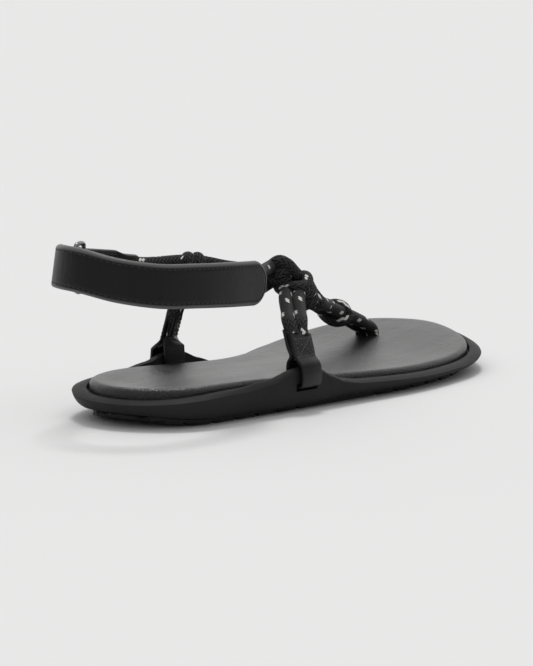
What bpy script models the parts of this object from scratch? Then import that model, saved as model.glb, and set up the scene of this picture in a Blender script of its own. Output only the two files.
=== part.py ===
"""Rope sandal, right foot: moulded sole with two wings, insole, rope upper and heel strap.

Metres, +Z up, +X to the toe, +Y to the medial side. The sandal stands on z = 0.
"""
import math

import bmesh
import bpy
from mathutils import Quaternion, Vector

# Sole sizes
INSOLE_LENGTH = 0.262
BALL_WIDTH = 0.0975
RIM_WIDTH = 0.0072
TOE_RIM_WIDTH = 0.0052
TREAD_THICKNESS = 0.0022
HEEL_STACK = 0.0163
BALL_STACK = 0.0101
TOE_STACK = 0.0152
TOE_SPRING = 0.0060
HEEL_SPRING = 0.0038
HEEL_RIM_DROP = 0.0018
TREAD_INSET = 0.25
DISH_INSET = 0.0137
INSOLE_THICKNESS = 0.0055
INSOLE_EDGE_RADIUS = 0.0022
INSOLE_DISH = 0.0008
RIM_DROP = 0.0041
RIM_CREST = 0.0016
CLEARANCE = 0.0003

# Wings, their slots and the leather loops through them
WING_RAISE = 0.0078
WING_WALL = 0.0045
WING_INNER_GAP = 0.0007
WING_LIP = 1.13
SLOT_HEIGHT = 0.0032
LATERAL_WING_AT = 0.300
MEDIAL_WING_AT = 0.312
LOOP_WIDTH = 0.0122
LOOP_LEATHER = 0.0019
LOOP_BOX_THICKNESS = 0.0050
LOOP_BOX_HEIGHT = 0.0100
LATERAL_NECK = 0.0032
MEDIAL_NECK = 0.0056
LOOP_BULGE = 0.0012

# Rope. The post's place is in shares of INSOLE_LENGTH and BALL_WIDTH
ROPE_DIAMETER = 0.0060
PAIR_SPACING = 0.0058
INSTEP_HEIGHT = 0.0600
POST_ALONG = 0.837
POST_SIDE = 0.141
WRAP_DIAMETER = 0.0054
WRAP_SPACING = 0.0048

# Heel strap, fastening tab and ring
ANKLE_HEIGHT = 0.0640
STRAP_FRONT_HEIGHT = 0.0190
STRAP_REAR_HEIGHT = 0.0180
STRAP_THICKNESS = 0.0036
STRAP_FLARE = 0.0012
STRAP_EDGE_RADIUS = 0.0016
SLEEVE_WALL = 0.0014
SOCKET_DEPTH = 0.0120
RING_WIRE = 0.0021
RING_GAP = 0.0026
RING_RISE = 0.0023
TAB_HEIGHT = 0.0164
TAB_THICKNESS = 0.0044
TAB_LENGTH = 0.0310
TAB_OVERLAP = 0.0205
TAB_SLEEVE_HEIGHT = 0.0136

# Tread grooves. Zones are shares of INSOLE_LENGTH
GROOVE_PITCH = 0.0125
GROOVE_WIDTH = 0.0026
GROOVE_DEPTH = 0.0012
GROOVE_ZONES = ((0.07, 0.34), (0.50, 0.93))

AROUND = 88
STRIDE = 0.0050

# Insole outline. Columns: along (share of INSOLE_LENGTH), side (share of BALL_WIDTH, medial positive)
LATERAL_OUTLINE = (
    (0.012, 0.000),
    (0.027, -0.140),
    (0.068, -0.262),
    (0.152, -0.328),
    (0.395, -0.441),
    (0.617, -0.526),
    (0.808, -0.460),
    (0.912, -0.262),
    (0.984, 0.060),
)
MEDIAL_OUTLINE = (
    (0.025, 0.140),
    (0.065, 0.270),
    (0.150, 0.340),
    (0.426, 0.271),
    (0.742, 0.474),
    (0.880, 0.450),
    (0.957, 0.330),
)

# Side of the foam sole, from its flat underside over the lip to the recess.
# Columns: out (share of rim width), height (share of the wall up to the lip), crest (share of
# RIM_CREST), lift (share of the wing's raise), wing_out (share of WING_WALL at the wing)
SOLE_SIDE = (
    (-TREAD_INSET, 0.00, 0.00, 0.00, -TREAD_INSET),
    (0.22, 0.08, 0.00, 0.00, 0.50),
    (0.66, 0.38, 0.00, 0.12, 1.00),
    (0.90, 0.72, 0.00, 0.50, WING_LIP),
    (1.00, 1.00, 0.00, 0.93, WING_LIP),
    (0.66, 1.00, 0.75, 1.00, 0.88),
    (0.34, 1.00, 1.00, 1.00, 0.55),
    (0.14, 1.00, 0.80, 0.97, 0.20),
)

# Raise of each wing. Columns: along (share of INSOLE_LENGTH), raise (share of WING_RAISE)
LATERAL_WING = ((0.08, 0.0), (0.16, 0.10), (0.22, 0.36), (0.275, 0.86), (0.303, 1.0),
                (0.330, 0.90), (0.360, 0.46), (0.392, 0.12), (0.430, 0.0))
MEDIAL_WING = ((0.15, 0.0), (0.21, 0.14), (0.26, 0.46), (0.30, 0.90), (0.322, 1.0),
               (0.345, 0.90), (0.385, 0.48), (0.43, 0.14), (0.48, 0.0))

# Heel strap's middle line. Columns: along (share of INSOLE_LENGTH), side (share of BALL_WIDTH),
# up (share of ANKLE_HEIGHT), front (how much of the front height the section has)
STRAP_LINE = (
    (0.1870, -0.369, 0.903, 1.0),
    (0.1150, -0.374, 0.925, 0.8),
    (0.0400, -0.352, 0.948, 0.4),
    (-0.030, -0.290, 0.970, 0.2),
    (-0.073, -0.155, 1.013, 0.1),
    (-0.084, -0.010, 1.058, 0.0),
    (-0.070, 0.125, 1.066, 0.0),
    (-0.034, 0.228, 1.050, 0.0),
    (0.012, 0.285, 1.014, 0.0),
    (0.061, 0.312, 0.986, 0.0),
)

# Rope routes between their fixed ends. Columns: along (share of INSOLE_LENGTH), side (share of
# BALL_WIDTH), up (share of INSTEP_HEIGHT), roll (degrees, 0 side by side, 90 one above the other)
TOE_ROUTE = (
    (0.271, -0.325, 0.975, 85.0),
    (0.332, -0.250, 0.985, 75.0),
    (0.399, -0.174, 0.950, 60.0),
    (0.476, -0.103, 0.850, 30.0),
    (0.522, -0.072, 0.727, 10.0),
    (0.572, -0.033, 0.596, 0.0),
    (0.636, 0.021, 0.507, 0.0),
    (0.694, 0.060, 0.441, 0.0),
    (0.759, 0.101, 0.357, 0.0),
    (0.808, 0.134, 0.287, 0.0),
)
ANKLE_ROUTE = (
    (0.225, 0.272, 0.962, 85.0),
    (0.325, 0.205, 0.945, 75.0),
    (0.375, 0.125, 0.895, 60.0),
    (0.425, 0.015, 0.860, 30.0),
    (0.458, -0.080, 0.820, 0.0),
)
LATERAL_ROUTE = (
    (0.342, -0.300, 0.673, 0.0),
    (0.361, -0.262, 0.739, 0.0),
    (0.376, -0.232, 0.779, 0.0),
    (0.401, -0.190, 0.821, 0.0),
    (0.442, -0.130, 0.839, 0.0),
)
MEDIAL_ROUTE = (
    (0.335, 0.262, 0.760, 0.0),
    (0.372, 0.165, 0.840, 0.0),
    (0.415, 0.060, 0.850, 0.0),
    (0.455, -0.060, 0.810, 0.0),
)

# Wraps of the knots. Columns: along (share of INSOLE_LENGTH), side (share of BALL_WIDTH),
# up (share of INSTEP_HEIGHT), yaw and pitch of the wrap's axis (degrees), wide and tall radius
# (shares of ROPE_DIAMETER)
WRAPS = (
    (0.437, -0.124, 0.850, 24.0, 10.0, 1.00, 1.06),
    (0.488, -0.086, 0.705, 15.0, 46.0, 0.90, 0.86),
    (0.693, 0.060, 0.433, 8.0, 24.0, 0.74, 0.70),
    (0.325, 0.205, 0.945, -42.0, 4.0, 0.72, 0.74),
)

# Lean of each loop's upper end for a unit of rise, inward and forward, and its twist in degrees
LOOP_LEAN = {"lateral": (0.66, 0.34), "medial": (0.28, 0.08)}
LOOP_TWIST = {"lateral": 0.0, "medial": 30.0}

# Colours, roughness and metal of each piece
LOOKS = {
    "outsole": ((0.010, 0.010, 0.010), 0.75, 0.0),
    "midsole": ((0.020, 0.020, 0.020), 0.62, 0.0),
    "insole": ((0.035, 0.035, 0.035), 0.45, 0.0),
    "leather": ((0.014, 0.014, 0.014), 0.48, 0.0),
    "rope": ((0.012, 0.012, 0.013), 0.80, 0.0),
    "metal": ((0.30, 0.30, 0.31), 0.25, 1.0),
}


def clear_scene():
    for thing in list(bpy.data.objects):
        bpy.data.objects.remove(thing, do_unlink=True)


def ease(value, start, end):
    share = min(max((value - start) / (end - start), 0.0), 1.0)
    return share * share * (3.0 - 2.0 * share)


def mix(first, second, share):
    return first + (second - first) * share


def eased_rows(rows, value):
    """Value of a two-column table, eased between its rows."""
    if value <= rows[0][0]:
        return rows[0][1]
    for (start, low), (end, high) in zip(rows, rows[1:]):
        if value <= end:
            share = (value - start) / (end - start)
            return mix(low, high, mix(share, ease(share, 0.0, 1.0), 0.5))
    return rows[-1][1]


def smooth_line(points, per_span, closed=False):
    """Catmull-Rom curve through vectors of any size, with chord-length knots."""
    count = len(points)
    spans = count if closed else count - 1
    line = []
    for span in range(spans):
        p1 = points[span]
        p2 = points[(span + 1) % count]
        p0 = points[(span - 1) % count] if closed or span else p1 + (p1 - p2)
        last = closed or span + 2 < count
        p3 = points[(span + 2) % count] if last else p2 + (p2 - p1)
        d1 = math.sqrt((p1 - p0).length)
        d2 = math.sqrt((p2 - p1).length)
        d3 = math.sqrt((p3 - p2).length)
        m1 = ((p1 - p0) / d1 - (p2 - p0) / (d1 + d2) + (p2 - p1) / d2) * d2
        m2 = ((p2 - p1) / d2 - (p3 - p1) / (d2 + d3) + (p3 - p2) / d3) * d2
        for step in range(per_span):
            t = step / per_span
            a = 2 * t ** 3 - 3 * t ** 2 + 1
            b = t ** 3 - 2 * t ** 2 + t
            c = -2 * t ** 3 + 3 * t ** 2
            d = t ** 3 - t ** 2
            line.append(p1 * a + m1 * b + p2 * c + m2 * d)
    if not closed:
        line.append(points[-1].copy())
    return line


def even_line(line, count):
    """The same polyline with evenly spaced points, ends included."""
    run = [0.0]
    for first, second in zip(line, line[1:]):
        run.append(run[-1] + (second - first).length)
    result = []
    index = 0
    for step in range(count):
        goal = run[-1] * step / (count - 1)
        while index < len(run) - 2 and run[index + 1] < goal:
            index += 1
        share = (goal - run[index]) / (run[index + 1] - run[index])
        result.append(line[index].lerp(line[index + 1], share))
    return result


def sole_outline():
    """Insole outline, heel centre first, down the lateral side and back up the medial side."""
    rows = LATERAL_OUTLINE + tuple(reversed(MEDIAL_OUTLINE))
    points = [Vector((along * INSOLE_LENGTH, side * BALL_WIDTH)) for along, side in rows]
    line = smooth_line(points, 16, closed=True)
    toe = 16 * (len(LATERAL_OUTLINE) - 1)
    half = AROUND // 2 + 1
    lateral = even_line(line[:toe + 1], half)
    medial = even_line(line[toe:] + line[:1], half)
    return lateral[:-1] + medial[:-1]


OUTLINE = sole_outline()


def outward(index):
    before = OUTLINE[index - 1]
    after = OUTLINE[(index + 1) % AROUND]
    run = (after - before).normalized()
    return Vector((run.y, -run.x))


def insole_top(share):
    heel = (HEEL_STACK - BALL_STACK) * (1.0 - ease(share, 0.10, 0.66))
    toe = (TOE_STACK - BALL_STACK) * ease(share, 0.70, 1.05)
    return BALL_STACK + heel + toe


def tread_bottom(share):
    toe = TOE_SPRING * max((share - 0.68) / 0.32, 0.0) ** 2
    return toe + HEEL_SPRING * max((0.12 - share) / 0.12, 0.0) ** 2


def foam_bottom(share):
    return tread_bottom(share) + TREAD_THICKNESS + CLEARANCE


def recess_floor(share):
    return insole_top(share) - INSOLE_THICKNESS


def rim_width(share):
    return mix(RIM_WIDTH, TOE_RIM_WIDTH, ease(share, 0.72, 0.98))


def wing_share(share, lateral):
    return eased_rows(LATERAL_WING if lateral else MEDIAL_WING, share)


def rim_lip(share):
    return insole_top(share) - RIM_DROP - HEEL_RIM_DROP * (1.0 - ease(share, 0.01, 0.10))


def rim_crest(share):
    return rim_lip(share) + RIM_CREST


def edge_at(share, lateral):
    """Point of the insole outline at a share of the length, and its outward direction."""
    half = range(1, AROUND // 2) if lateral else range(AROUND - 1, AROUND // 2, -1)
    goal = share * INSOLE_LENGTH
    index = min(half, key=lambda item: abs(OUTLINE[item].x - goal))
    out = outward(index)
    side = OUTLINE[index].y + (goal - OUTLINE[index].x) * -out.x / out.y
    return Vector((goal, side)), out


def loop_at(offsets, heights):
    """One ring of the sole: every outline point moved out and set at its height."""
    ring = []
    for index, point in enumerate(OUTLINE):
        share = point.x / INSOLE_LENGTH
        lateral = 0 < index < AROUND // 2
        moved = point + outward(index) * offsets(share, lateral)
        ring.append(Vector((moved.x, moved.y, heights(share, lateral))))
    return ring


def material_for(look):
    known = bpy.data.materials.get(look)
    if known:
        return known
    color, roughness, metallic = LOOKS[look]
    material = bpy.data.materials.new(look)
    material.use_nodes = True
    shader = material.node_tree.nodes["Principled BSDF"]
    shader.inputs["Base Color"].default_value = (*color, 1.0)
    shader.inputs["Roughness"].default_value = roughness
    shader.inputs["Metallic"].default_value = metallic
    material.diffuse_color = (*color, 1.0)
    return material


def add_mesh(name, mesh_data, look, cutter=False):
    mesh = bpy.data.meshes.new(name)
    mesh_data.normal_update()
    bmesh.ops.recalc_face_normals(mesh_data, faces=mesh_data.faces)
    mesh_data.to_mesh(mesh)
    mesh_data.free()
    thing = bpy.data.objects.new(name, mesh)
    bpy.context.scene.collection.objects.link(thing)
    mesh.materials.append(material_for(look))
    if cutter:
        thing.hide_render = True
        thing.display_type = 'WIRE'
    else:
        mesh.shade_smooth()
        mesh.set_sharp_from_angle(angle=math.radians(50.0))
    return thing


def ladder(mesh_data, ring, flip):
    """Cap a ring with rungs from its lateral half to its medial half."""
    count = len(ring)
    half = count // 2
    rungs = [(ring[0], ring[1], ring[count - 1]), (ring[half - 1], ring[half], ring[half + 1])]
    for index in range(1, half - 1):
        rungs.append((ring[index], ring[index + 1], ring[count - index - 1], ring[count - index]))
    for rung in rungs:
        mesh_data.faces.new(tuple(reversed(rung)) if flip else rung)


def skin(rings, closed=False, cap="face"):
    """Closed mesh over rings with the same number of points."""
    mesh_data = bmesh.new()
    loops = [[mesh_data.verts.new(point) for point in ring] for ring in rings]
    pairs = list(zip(loops, loops[1:]))
    if closed:
        pairs.append((loops[-1], loops[0]))
    for low, high in pairs:
        for index in range(len(low)):
            after = (index + 1) % len(low)
            mesh_data.faces.new((low[index], low[after], high[after], high[index]))
    if not closed and cap == "face":
        mesh_data.faces.new(tuple(reversed(loops[0])))
        mesh_data.faces.new(loops[-1])
    if not closed and cap == "ladder":
        ladder(mesh_data, loops[0], True)
        ladder(mesh_data, loops[-1], False)
    return mesh_data


def cut(thing, cutter, operation='DIFFERENCE'):
    change = thing.modifiers.new(cutter.name, 'BOOLEAN')
    change.operation = operation
    change.solver = 'EXACT'
    change.object = cutter


def block(name, corner, across, along, up, size):
    """Box cutter: centre, two level axes and up, and its three full sizes."""
    mesh_data = bmesh.new()
    bmesh.ops.create_cube(mesh_data, size=1.0)
    for vertex in mesh_data.verts:
        place = vertex.co.copy()
        vertex.co = (corner + across * place.x * size[0] + along * place.y * size[1]
                     + up * place.z * size[2])
    return add_mesh(name, mesh_data, "metal", cutter=True)


def flat(point, height):
    return Vector((point.x, point.y, height))


def build_outsole():
    def inset(share, lateral):
        return -TREAD_INSET * rim_width(share)

    bottom = loop_at(inset, lambda share, lateral: tread_bottom(share))
    top = loop_at(inset, lambda share, lateral: tread_bottom(share) + TREAD_THICKNESS)
    outsole = add_mesh("outsole", skin([bottom, top], cap="ladder"), "outsole")
    grooves = bmesh.new()
    for start, end in GROOVE_ZONES:
        count = int((end - start) * INSOLE_LENGTH / GROOVE_PITCH)
        for step in range(count + 1):
            along = start * INSOLE_LENGTH + step * GROOVE_PITCH
            share = along / INSOLE_LENGTH
            slope = (tread_bottom(share + 0.01) - tread_bottom(share - 0.01)) / (0.02 * INSOLE_LENGTH)
            made = bmesh.ops.create_cube(grooves, size=1.0)["verts"]
            for vertex in made:
                run = vertex.co.x * GROOVE_WIDTH
                rise = vertex.co.z * 2.0 * GROOVE_DEPTH
                vertex.co = Vector((along + run, vertex.co.y * 2.0 * BALL_WIDTH,
                                    tread_bottom(share) + slope * run + rise))
    cut(outsole, add_mesh("tread_grooves", grooves, "metal", cutter=True))
    return outsole


def build_midsole():
    def row_ring(out, height, crest, lift, wing_out):
        def offset(share, lateral):
            wing = wing_share(share, lateral)
            wide = WING_INNER_GAP + wing_out * WING_WALL
            return mix(out * rim_width(share), wide, min(wing * 1.6, 1.0))

        def level(share, lateral):
            low = foam_bottom(share)
            lip = rim_lip(share)
            raised = lift * wing_share(share, lateral) * WING_RAISE
            return mix(low, lip, height) + crest * RIM_CREST + raised

        return loop_at(offset, level)

    rings = [row_ring(*row) for row in SOLE_SIDE]
    rings.append(loop_at(lambda share, lateral: WING_INNER_GAP,
                         lambda share, lateral: recess_floor(share)))
    midsole = add_mesh("midsole", skin(rings, cap="ladder"), "midsole")
    for name, share, lateral in (("lateral", LATERAL_WING_AT, True), ("medial", MEDIAL_WING_AT, False)):
        point, out = edge_at(share, lateral)
        along = Vector((-out.y, out.x, 0.0))
        middle = recess_floor(share) + CLEARANCE + SLOT_HEIGHT / 2
        centre = flat(point + out * (WING_INNER_GAP + WING_WALL / 2), middle)
        size = (3.0 * WING_WALL, LOOP_WIDTH + 4 * CLEARANCE, SLOT_HEIGHT)
        slot = block(name + "_slot", centre, flat(out, 0.0), along, Vector((0, 0, 1)), size)
        cut(midsole, slot)
    return midsole


def build_insole():
    rows = (
        # out (m), height (share of INSOLE_THICKNESS above the recess)
        (-CLEARANCE, 0.00),
        (-CLEARANCE, 1.0 - INSOLE_EDGE_RADIUS / INSOLE_THICKNESS),
        (-CLEARANCE - 0.3 * INSOLE_EDGE_RADIUS, 1.0 - 0.3 * INSOLE_EDGE_RADIUS / INSOLE_THICKNESS),
        (-CLEARANCE - INSOLE_EDGE_RADIUS, 1.0),
    )
    rings = []
    for out, height in rows:
        def level(share, lateral, height=height):
            low = recess_floor(share) + CLEARANCE
            return mix(low, insole_top(share), height)
        rings.append(loop_at(lambda share, lateral, out=out: out, level))
    rings.append(loop_at(lambda share, lateral: -DISH_INSET,
                         lambda share, lateral: insole_top(share) - INSOLE_DISH))
    insole = add_mesh("insole", skin(rings, cap="ladder"), "insole")
    for name, share, lateral in (("lateral", LATERAL_WING_AT, True), ("medial", MEDIAL_WING_AT, False)):
        point, out = edge_at(share, lateral)
        along = Vector((-out.y, out.x, 0.0))
        deep = LOOP_LEATHER + 3 * CLEARANCE
        size = (2 * deep, LOOP_WIDTH + 4 * CLEARANCE, 3 * INSOLE_THICKNESS)
        centre = flat(point + out * (WING_INNER_GAP), insole_top(share))
        notch = block(name + "_notch", centre, flat(out, 0.0), along, Vector((0, 0, 1)), size)
        cut(insole, notch)
    return insole


def loop_frame(share, lateral):
    point, out = edge_at(share, lateral)
    return point, flat(out, 0.0), Vector((-out.y, out.x, 0.0))


def loop_top(share, lateral):
    """Centre of the loop's upper end and the direction in which the cords leave it."""
    point, out, along = loop_frame(share, lateral)
    forward = along if along.x > 0 else -along
    neck = rim_crest(share) + WING_RAISE + (LATERAL_NECK if lateral else MEDIAL_NECK)
    inward, ahead = LOOP_LEAN["lateral" if lateral else "medial"]
    lean = -out * inward + forward * ahead + Vector((0, 0, 1.0))
    base = flat(point, neck) + out * (WING_INNER_GAP + WING_WALL / 2)
    turned = forward.copy()
    turned.rotate(Quaternion((0, 0, 1), math.radians(LOOP_TWIST["lateral" if lateral else "medial"])))
    return base + lean * LOOP_BOX_HEIGHT, lean.normalized(), base, turned


def build_loop(name, share, lateral):
    point, out, along = loop_frame(share, lateral)
    end, lean, base, turned = loop_top(share, lateral)
    forward = along if along.x > 0 else -along
    across = Vector((turned.y, -turned.x, 0.0))
    across = across if across.dot(out) > 0 else -across
    reach = LOOP_LEATHER / 2 + CLEARANCE
    low = recess_floor(share) + CLEARANCE + SLOT_HEIGHT - reach
    high = rim_crest(share) + WING_RAISE
    middle = (low + high) / 2
    neck = base.z - high
    near = WING_INNER_GAP - reach
    far = WING_INNER_GAP + WING_LIP * WING_WALL + reach
    rows = (
        # out, up
        (far - 0.1 * WING_WALL, high + 0.40 * neck),
        (far + 0.7 * LOOP_BULGE, high - 0.3 * neck),
        (far + LOOP_BULGE, middle),
        (far + 0.6 * LOOP_BULGE, low + 0.8 * reach),
        (far - 0.6 * reach, low),
        (0.5 * (near + far), low),
        (near + 0.8 * reach, low),
        (near, low + 1.2 * reach),
        (near, middle),
        (near, high - 0.3 * neck),
        (near + 0.1 * WING_WALL, high + 0.45 * neck),
    )
    line = smooth_line([Vector(row) for row in rows], 2)
    outer = []
    inner = []
    for index, place in enumerate(line):
        run = (line[min(index + 1, len(line) - 1)] - line[max(index - 1, 0)]).normalized()
        normal = Vector((-run.y, run.x))
        outer.append(place + normal * LOOP_LEATHER / 2)
        inner.append(place - normal * LOOP_LEATHER / 2)

    def world(place, shift):
        height = place.y
        return flat(point, height) + out * place.x + forward * shift

    mesh_data = bmesh.new()
    sides = []
    half_box = across * LOOP_BOX_THICKNESS / 2
    for shift in (-LOOP_WIDTH / 2, LOOP_WIDTH / 2):
        move = turned * shift
        apex = base - Vector((0, 0, 0.35 * neck)) + move
        row_outer = [base + half_box + move] + [world(place, shift) for place in outer]
        row_outer += [base - half_box + move]
        row_inner = [apex] + [world(place, shift) for place in inner]
        top = [end + half_box + move, end - half_box + move]
        sides.append(([mesh_data.verts.new(place) for place in row_outer],
                      [mesh_data.verts.new(place) for place in row_inner],
                      [mesh_data.verts.new(place) for place in top]))
    count = len(sides[0][0])
    for number, (row_outer, row_inner, top) in enumerate(sides):
        closed_inner = row_inner + [row_inner[0]]
        for index in range(count - 1):
            face = [row_outer[index], row_outer[index + 1], closed_inner[index + 1], closed_inner[index]]
            mesh_data.faces.new(face if number else face[::-1])
        face = [top[0], row_outer[0], row_inner[0], row_outer[-1], top[1]]
        mesh_data.faces.new(face if number else face[::-1])
    (outer_a, inner_a, top_a), (outer_b, inner_b, top_b) = sides
    rim_a = [top_a[0]] + outer_a + [top_a[1]]
    rim_b = [top_b[0]] + outer_b + [top_b[1]]
    for row_a, row_b in ((rim_a, rim_b), (inner_a, inner_b)):
        for index in range(len(row_a)):
            after = (index + 1) % len(row_a)
            mesh_data.faces.new((row_a[index], row_a[after], row_b[after], row_b[index]))
    return add_mesh(name, mesh_data, "leather")


def pair_profile(diameter, spacing, grow=0.0):
    """Outline of two cords lying against each other, as (sideways, up) pairs."""
    radius = diameter / 2 + grow
    shift = spacing / 2
    waist = math.degrees(math.acos(-min(shift / radius, 0.95)))
    outline = []
    for centre, turn in ((shift, 0.0), (-shift, 180.0)):
        for step in range(6):
            angle = math.radians(turn + mix(-waist, waist, (step + 0.5) / 6))
            outline.append((centre + radius * math.cos(angle), radius * math.sin(angle)))
        angle = math.radians(turn + waist)
        outline.append((0.0, 0.92 * radius * math.sin(angle)))
    return outline


def sweep(points, sides, profile, closed=False, foot=None):
    """Skin a profile along points; a foot height cuts the first ring level at that height."""
    rings = []
    count = len(points)
    for index, point in enumerate(points):
        if closed:
            run = points[(index + 1) % count] - points[index - 1]
        else:
            run = points[min(index + 1, count - 1)] - points[max(index - 1, 0)]
        run.normalize()
        side = sides[index] - run * sides[index].dot(run)
        side.normalize()
        up = side.cross(run)
        ring = [point + side * across + up * rise for across, rise in profile]
        if foot is not None and index == 0:
            ring = [place + run * ((foot - place.z) / run.z) for place in ring]
        rings.append(ring)
    return skin(rings, closed=closed)


def rolled_sides(points, rolls):
    """Direction from one cord of a pair to the other, from the roll at each point."""
    sides = []
    level = Vector((0, 1, 0))
    for index, point in enumerate(points):
        run = points[min(index + 1, len(points) - 1)] - points[max(index - 1, 0)]
        run.normalize()
        across = Vector((0, 0, 1)).cross(run)
        if across.length > 0.35:
            level = across.normalized()
        rise = run.cross(level).normalized()
        angle = math.radians(rolls[index])
        sides.append(level * math.cos(angle) + rise * math.sin(angle))
    return sides


def pair_route(start, rows, finish):
    """Evenly spaced points and side directions through fixed ends and a table of rows."""
    stops = [Vector((*place, roll / 1000.0)) for place, roll in start]
    for along, side, up, roll in rows:
        stops.append(Vector((along * INSOLE_LENGTH, side * BALL_WIDTH, up * INSTEP_HEIGHT,
                             roll / 1000.0)))
    stops += [Vector((*place, roll / 1000.0)) for place, roll in finish]
    line = smooth_line(stops, 12)
    run = sum((b.to_3d() - a.to_3d()).length for a, b in zip(line, line[1:]))
    line = even_line(line, max(int(run / STRIDE), 4))
    points = [place.to_3d() for place in line]
    rolls = [place.w * 1000.0 for place in line]
    return points, rolled_sides(points, rolls)


def strap_line():
    """Heel strap's middle line as (x, y, z, share of the front height), lateral front end first."""
    stops = []
    for along, side, up, front in STRAP_LINE:
        stops.append(Vector((along * INSOLE_LENGTH, side * BALL_WIDTH, up * ANKLE_HEIGHT,
                             front * STRAP_FRONT_HEIGHT)))
    line = smooth_line(stops, 8)
    return even_line(line, 46)


STRAP = strap_line()


def run_of(line, index):
    """Level direction of a line at one of its points."""
    step = line[min(index + 1, len(line) - 1)] - line[max(index - 1, 0)]
    return Vector((step.x, step.y, 0.0)).normalized()


def strap_inward(index):
    run = run_of(STRAP, index)
    return Vector((run.y, -run.x, 0.0))


def band_ring(centre, inward, half, thick_in, thick_out, lean):
    """Rounded section of a strap: centre, level direction to its inside, sizes, outward lean."""
    radius = min(0.42 * (thick_in + thick_out), 0.6 * half, STRAP_EDGE_RADIUS)
    ring = []
    corners = ((-thick_out, half, 0.0), (-thick_out, -half, 90.0), (thick_in, -half, 180.0),
               (thick_in, half, 270.0))
    for across, rise, turn in corners:
        across_mid = across - math.copysign(radius, across)
        rise_mid = rise - math.copysign(radius, rise)
        for step in range(3):
            angle = math.radians(90.0 + turn + 45.0 * step)
            place = (across_mid + radius * math.cos(angle), rise_mid + radius * math.sin(angle))
            shift = place[0] + lean * place[1] / half
            ring.append(centre + inward * shift + Vector((0, 0, place[1])))
    return ring


def eye_thickness():
    return RING_WIRE / 2 + CLEARANCE + SLEEVE_WALL


def eye_setback():
    """How far an upright bar stands behind the end of the leather that wraps it."""
    return eye_thickness() - 0.3 * SLEEVE_WALL


def socket_thickness():
    """How far a sleeve reaches inward of the strap's middle to hold a pair of cords."""
    return ROPE_DIAMETER + 2 * CLEARANCE + 2 * SLEEVE_WALL - STRAP_THICKNESS / 2


def cord_inset():
    return ROPE_DIAMETER / 2 + CLEARANCE + SLEEVE_WALL - STRAP_THICKNESS / 2


def strap_socket():
    """Ends of the cord pair inside the strap's front end: deep point, mouth point."""
    tip = STRAP[0].to_3d()
    run = run_of(STRAP, 0)
    inward = strap_inward(0)
    mouth = tip + inward * cord_inset()
    deep = mouth + Vector((run.x, run.y, 0.0)) * SOCKET_DEPTH
    deep.z = mouth.z + (STRAP[6].z - STRAP[0].z) * SOCKET_DEPTH / (STRAP[6].to_3d() - tip).length
    return deep, mouth


def build_heel_strap():
    rings = []
    distance = 0.0
    total = len(STRAP)
    for index, place in enumerate(STRAP):
        if index:
            distance += (place.to_3d() - STRAP[index - 1].to_3d()).length
        front = place.w / STRAP_FRONT_HEIGHT
        half = mix(STRAP_REAR_HEIGHT, STRAP_FRONT_HEIGHT, front) / 2
        sleeve = 1.0 - ease(distance, SOCKET_DEPTH, 2.0 * SOCKET_DEPTH)
        thick_in = mix(STRAP_THICKNESS / 2, socket_thickness(), sleeve)
        thick_out = STRAP_THICKNESS / 2
        left = (total - 1 - index) / (total - 1)
        swell = 1.0 - ease(left, 0.0, 0.09)
        thick_in = mix(thick_in, eye_thickness(), swell)
        thick_out = mix(thick_out, eye_thickness(), swell)
        lean = STRAP_FLARE * (1.0 - front) * ease(left, 0.0, 0.2)
        inward = strap_inward(index)
        rings.append(band_ring(place.to_3d(), inward, half, thick_in, thick_out, lean))
    tip = STRAP[0].to_3d()
    back = run_of(STRAP, 0)
    half = STRAP_FRONT_HEIGHT / 2
    nose = []
    for angle in (84.0, 66.0, 48.0, 32.0, 16.0):
        turn = math.radians(angle)
        ahead = half * math.sin(turn)
        tall = half * max(math.cos(turn), 0.0) ** 0.9
        centre = tip - back * ahead
        thin = mix(1.0, 0.55, ease(angle, 30.0, 84.0))
        nose.append(band_ring(centre, strap_inward(0), tall, socket_thickness() * thin,
                              STRAP_THICKNESS / 2 * thin, 0.0))
    strap = add_mesh("heel_strap", skin(nose + rings), "leather")
    return strap


def ring_axis():
    """Level point of each of the ring's upright bars: strap side, tab side, and the level run."""
    last = len(STRAP) - 1
    run = run_of(STRAP, last)
    end = STRAP[last].to_3d()
    return end - run * eye_setback(), end + run * (RING_GAP + eye_setback()), run


def build_ring():
    rear, front, run = ring_axis()
    centre = (rear + front) / 2
    half_wide = (front - rear).length / 2
    straight = max(STRAP_REAR_HEIGHT, TAB_HEIGHT) / 2
    bow = RING_RISE - RING_WIRE / 2
    curve = bpy.data.curves.new("ring", 'CURVE')
    curve.dimensions = '3D'
    curve.bevel_depth = RING_WIRE / 2
    curve.bevel_resolution = 2
    spline = curve.splines.new('POLY')
    places = []
    for turn in (0.0, 90.0, 180.0, 270.0):
        right = turn in (0.0, 270.0)
        above = turn in (0.0, 90.0)
        for step in range(5):
            angle = math.radians(turn + 22.5 * step)
            across = half_wide * (0.25 if right else -0.25) + 0.75 * half_wide * math.cos(angle)
            rise = straight * (1 if above else -1) + bow * math.sin(angle)
            places.append(centre + run * across + Vector((0, 0, rise)))
    spline.points.add(len(places) - 1)
    for point, place in zip(spline.points, places):
        point.co = (*place, 1.0)
    spline.use_cyclic_u = True
    thing = bpy.data.objects.new("ring", curve)
    bpy.context.scene.collection.objects.link(thing)
    curve.materials.append(material_for("metal"))
    return thing


def tab_line():
    """Fastening tab's middle line, from the ring's front bar forward to its cord sleeve."""
    rear, front, run = ring_axis()
    along, side, up, roll = ANKLE_ROUTE[0]
    target = Vector((along * INSOLE_LENGTH, side * BALL_WIDTH, up * INSTEP_HEIGHT))
    start = front - run * eye_setback()
    start.z = STRAP[-1].z
    level = Vector((target.x - start.x, target.y - start.y, 0.0))
    slope = (target.z - start.z) / level.length
    level.normalize()
    return start, level, slope


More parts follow.
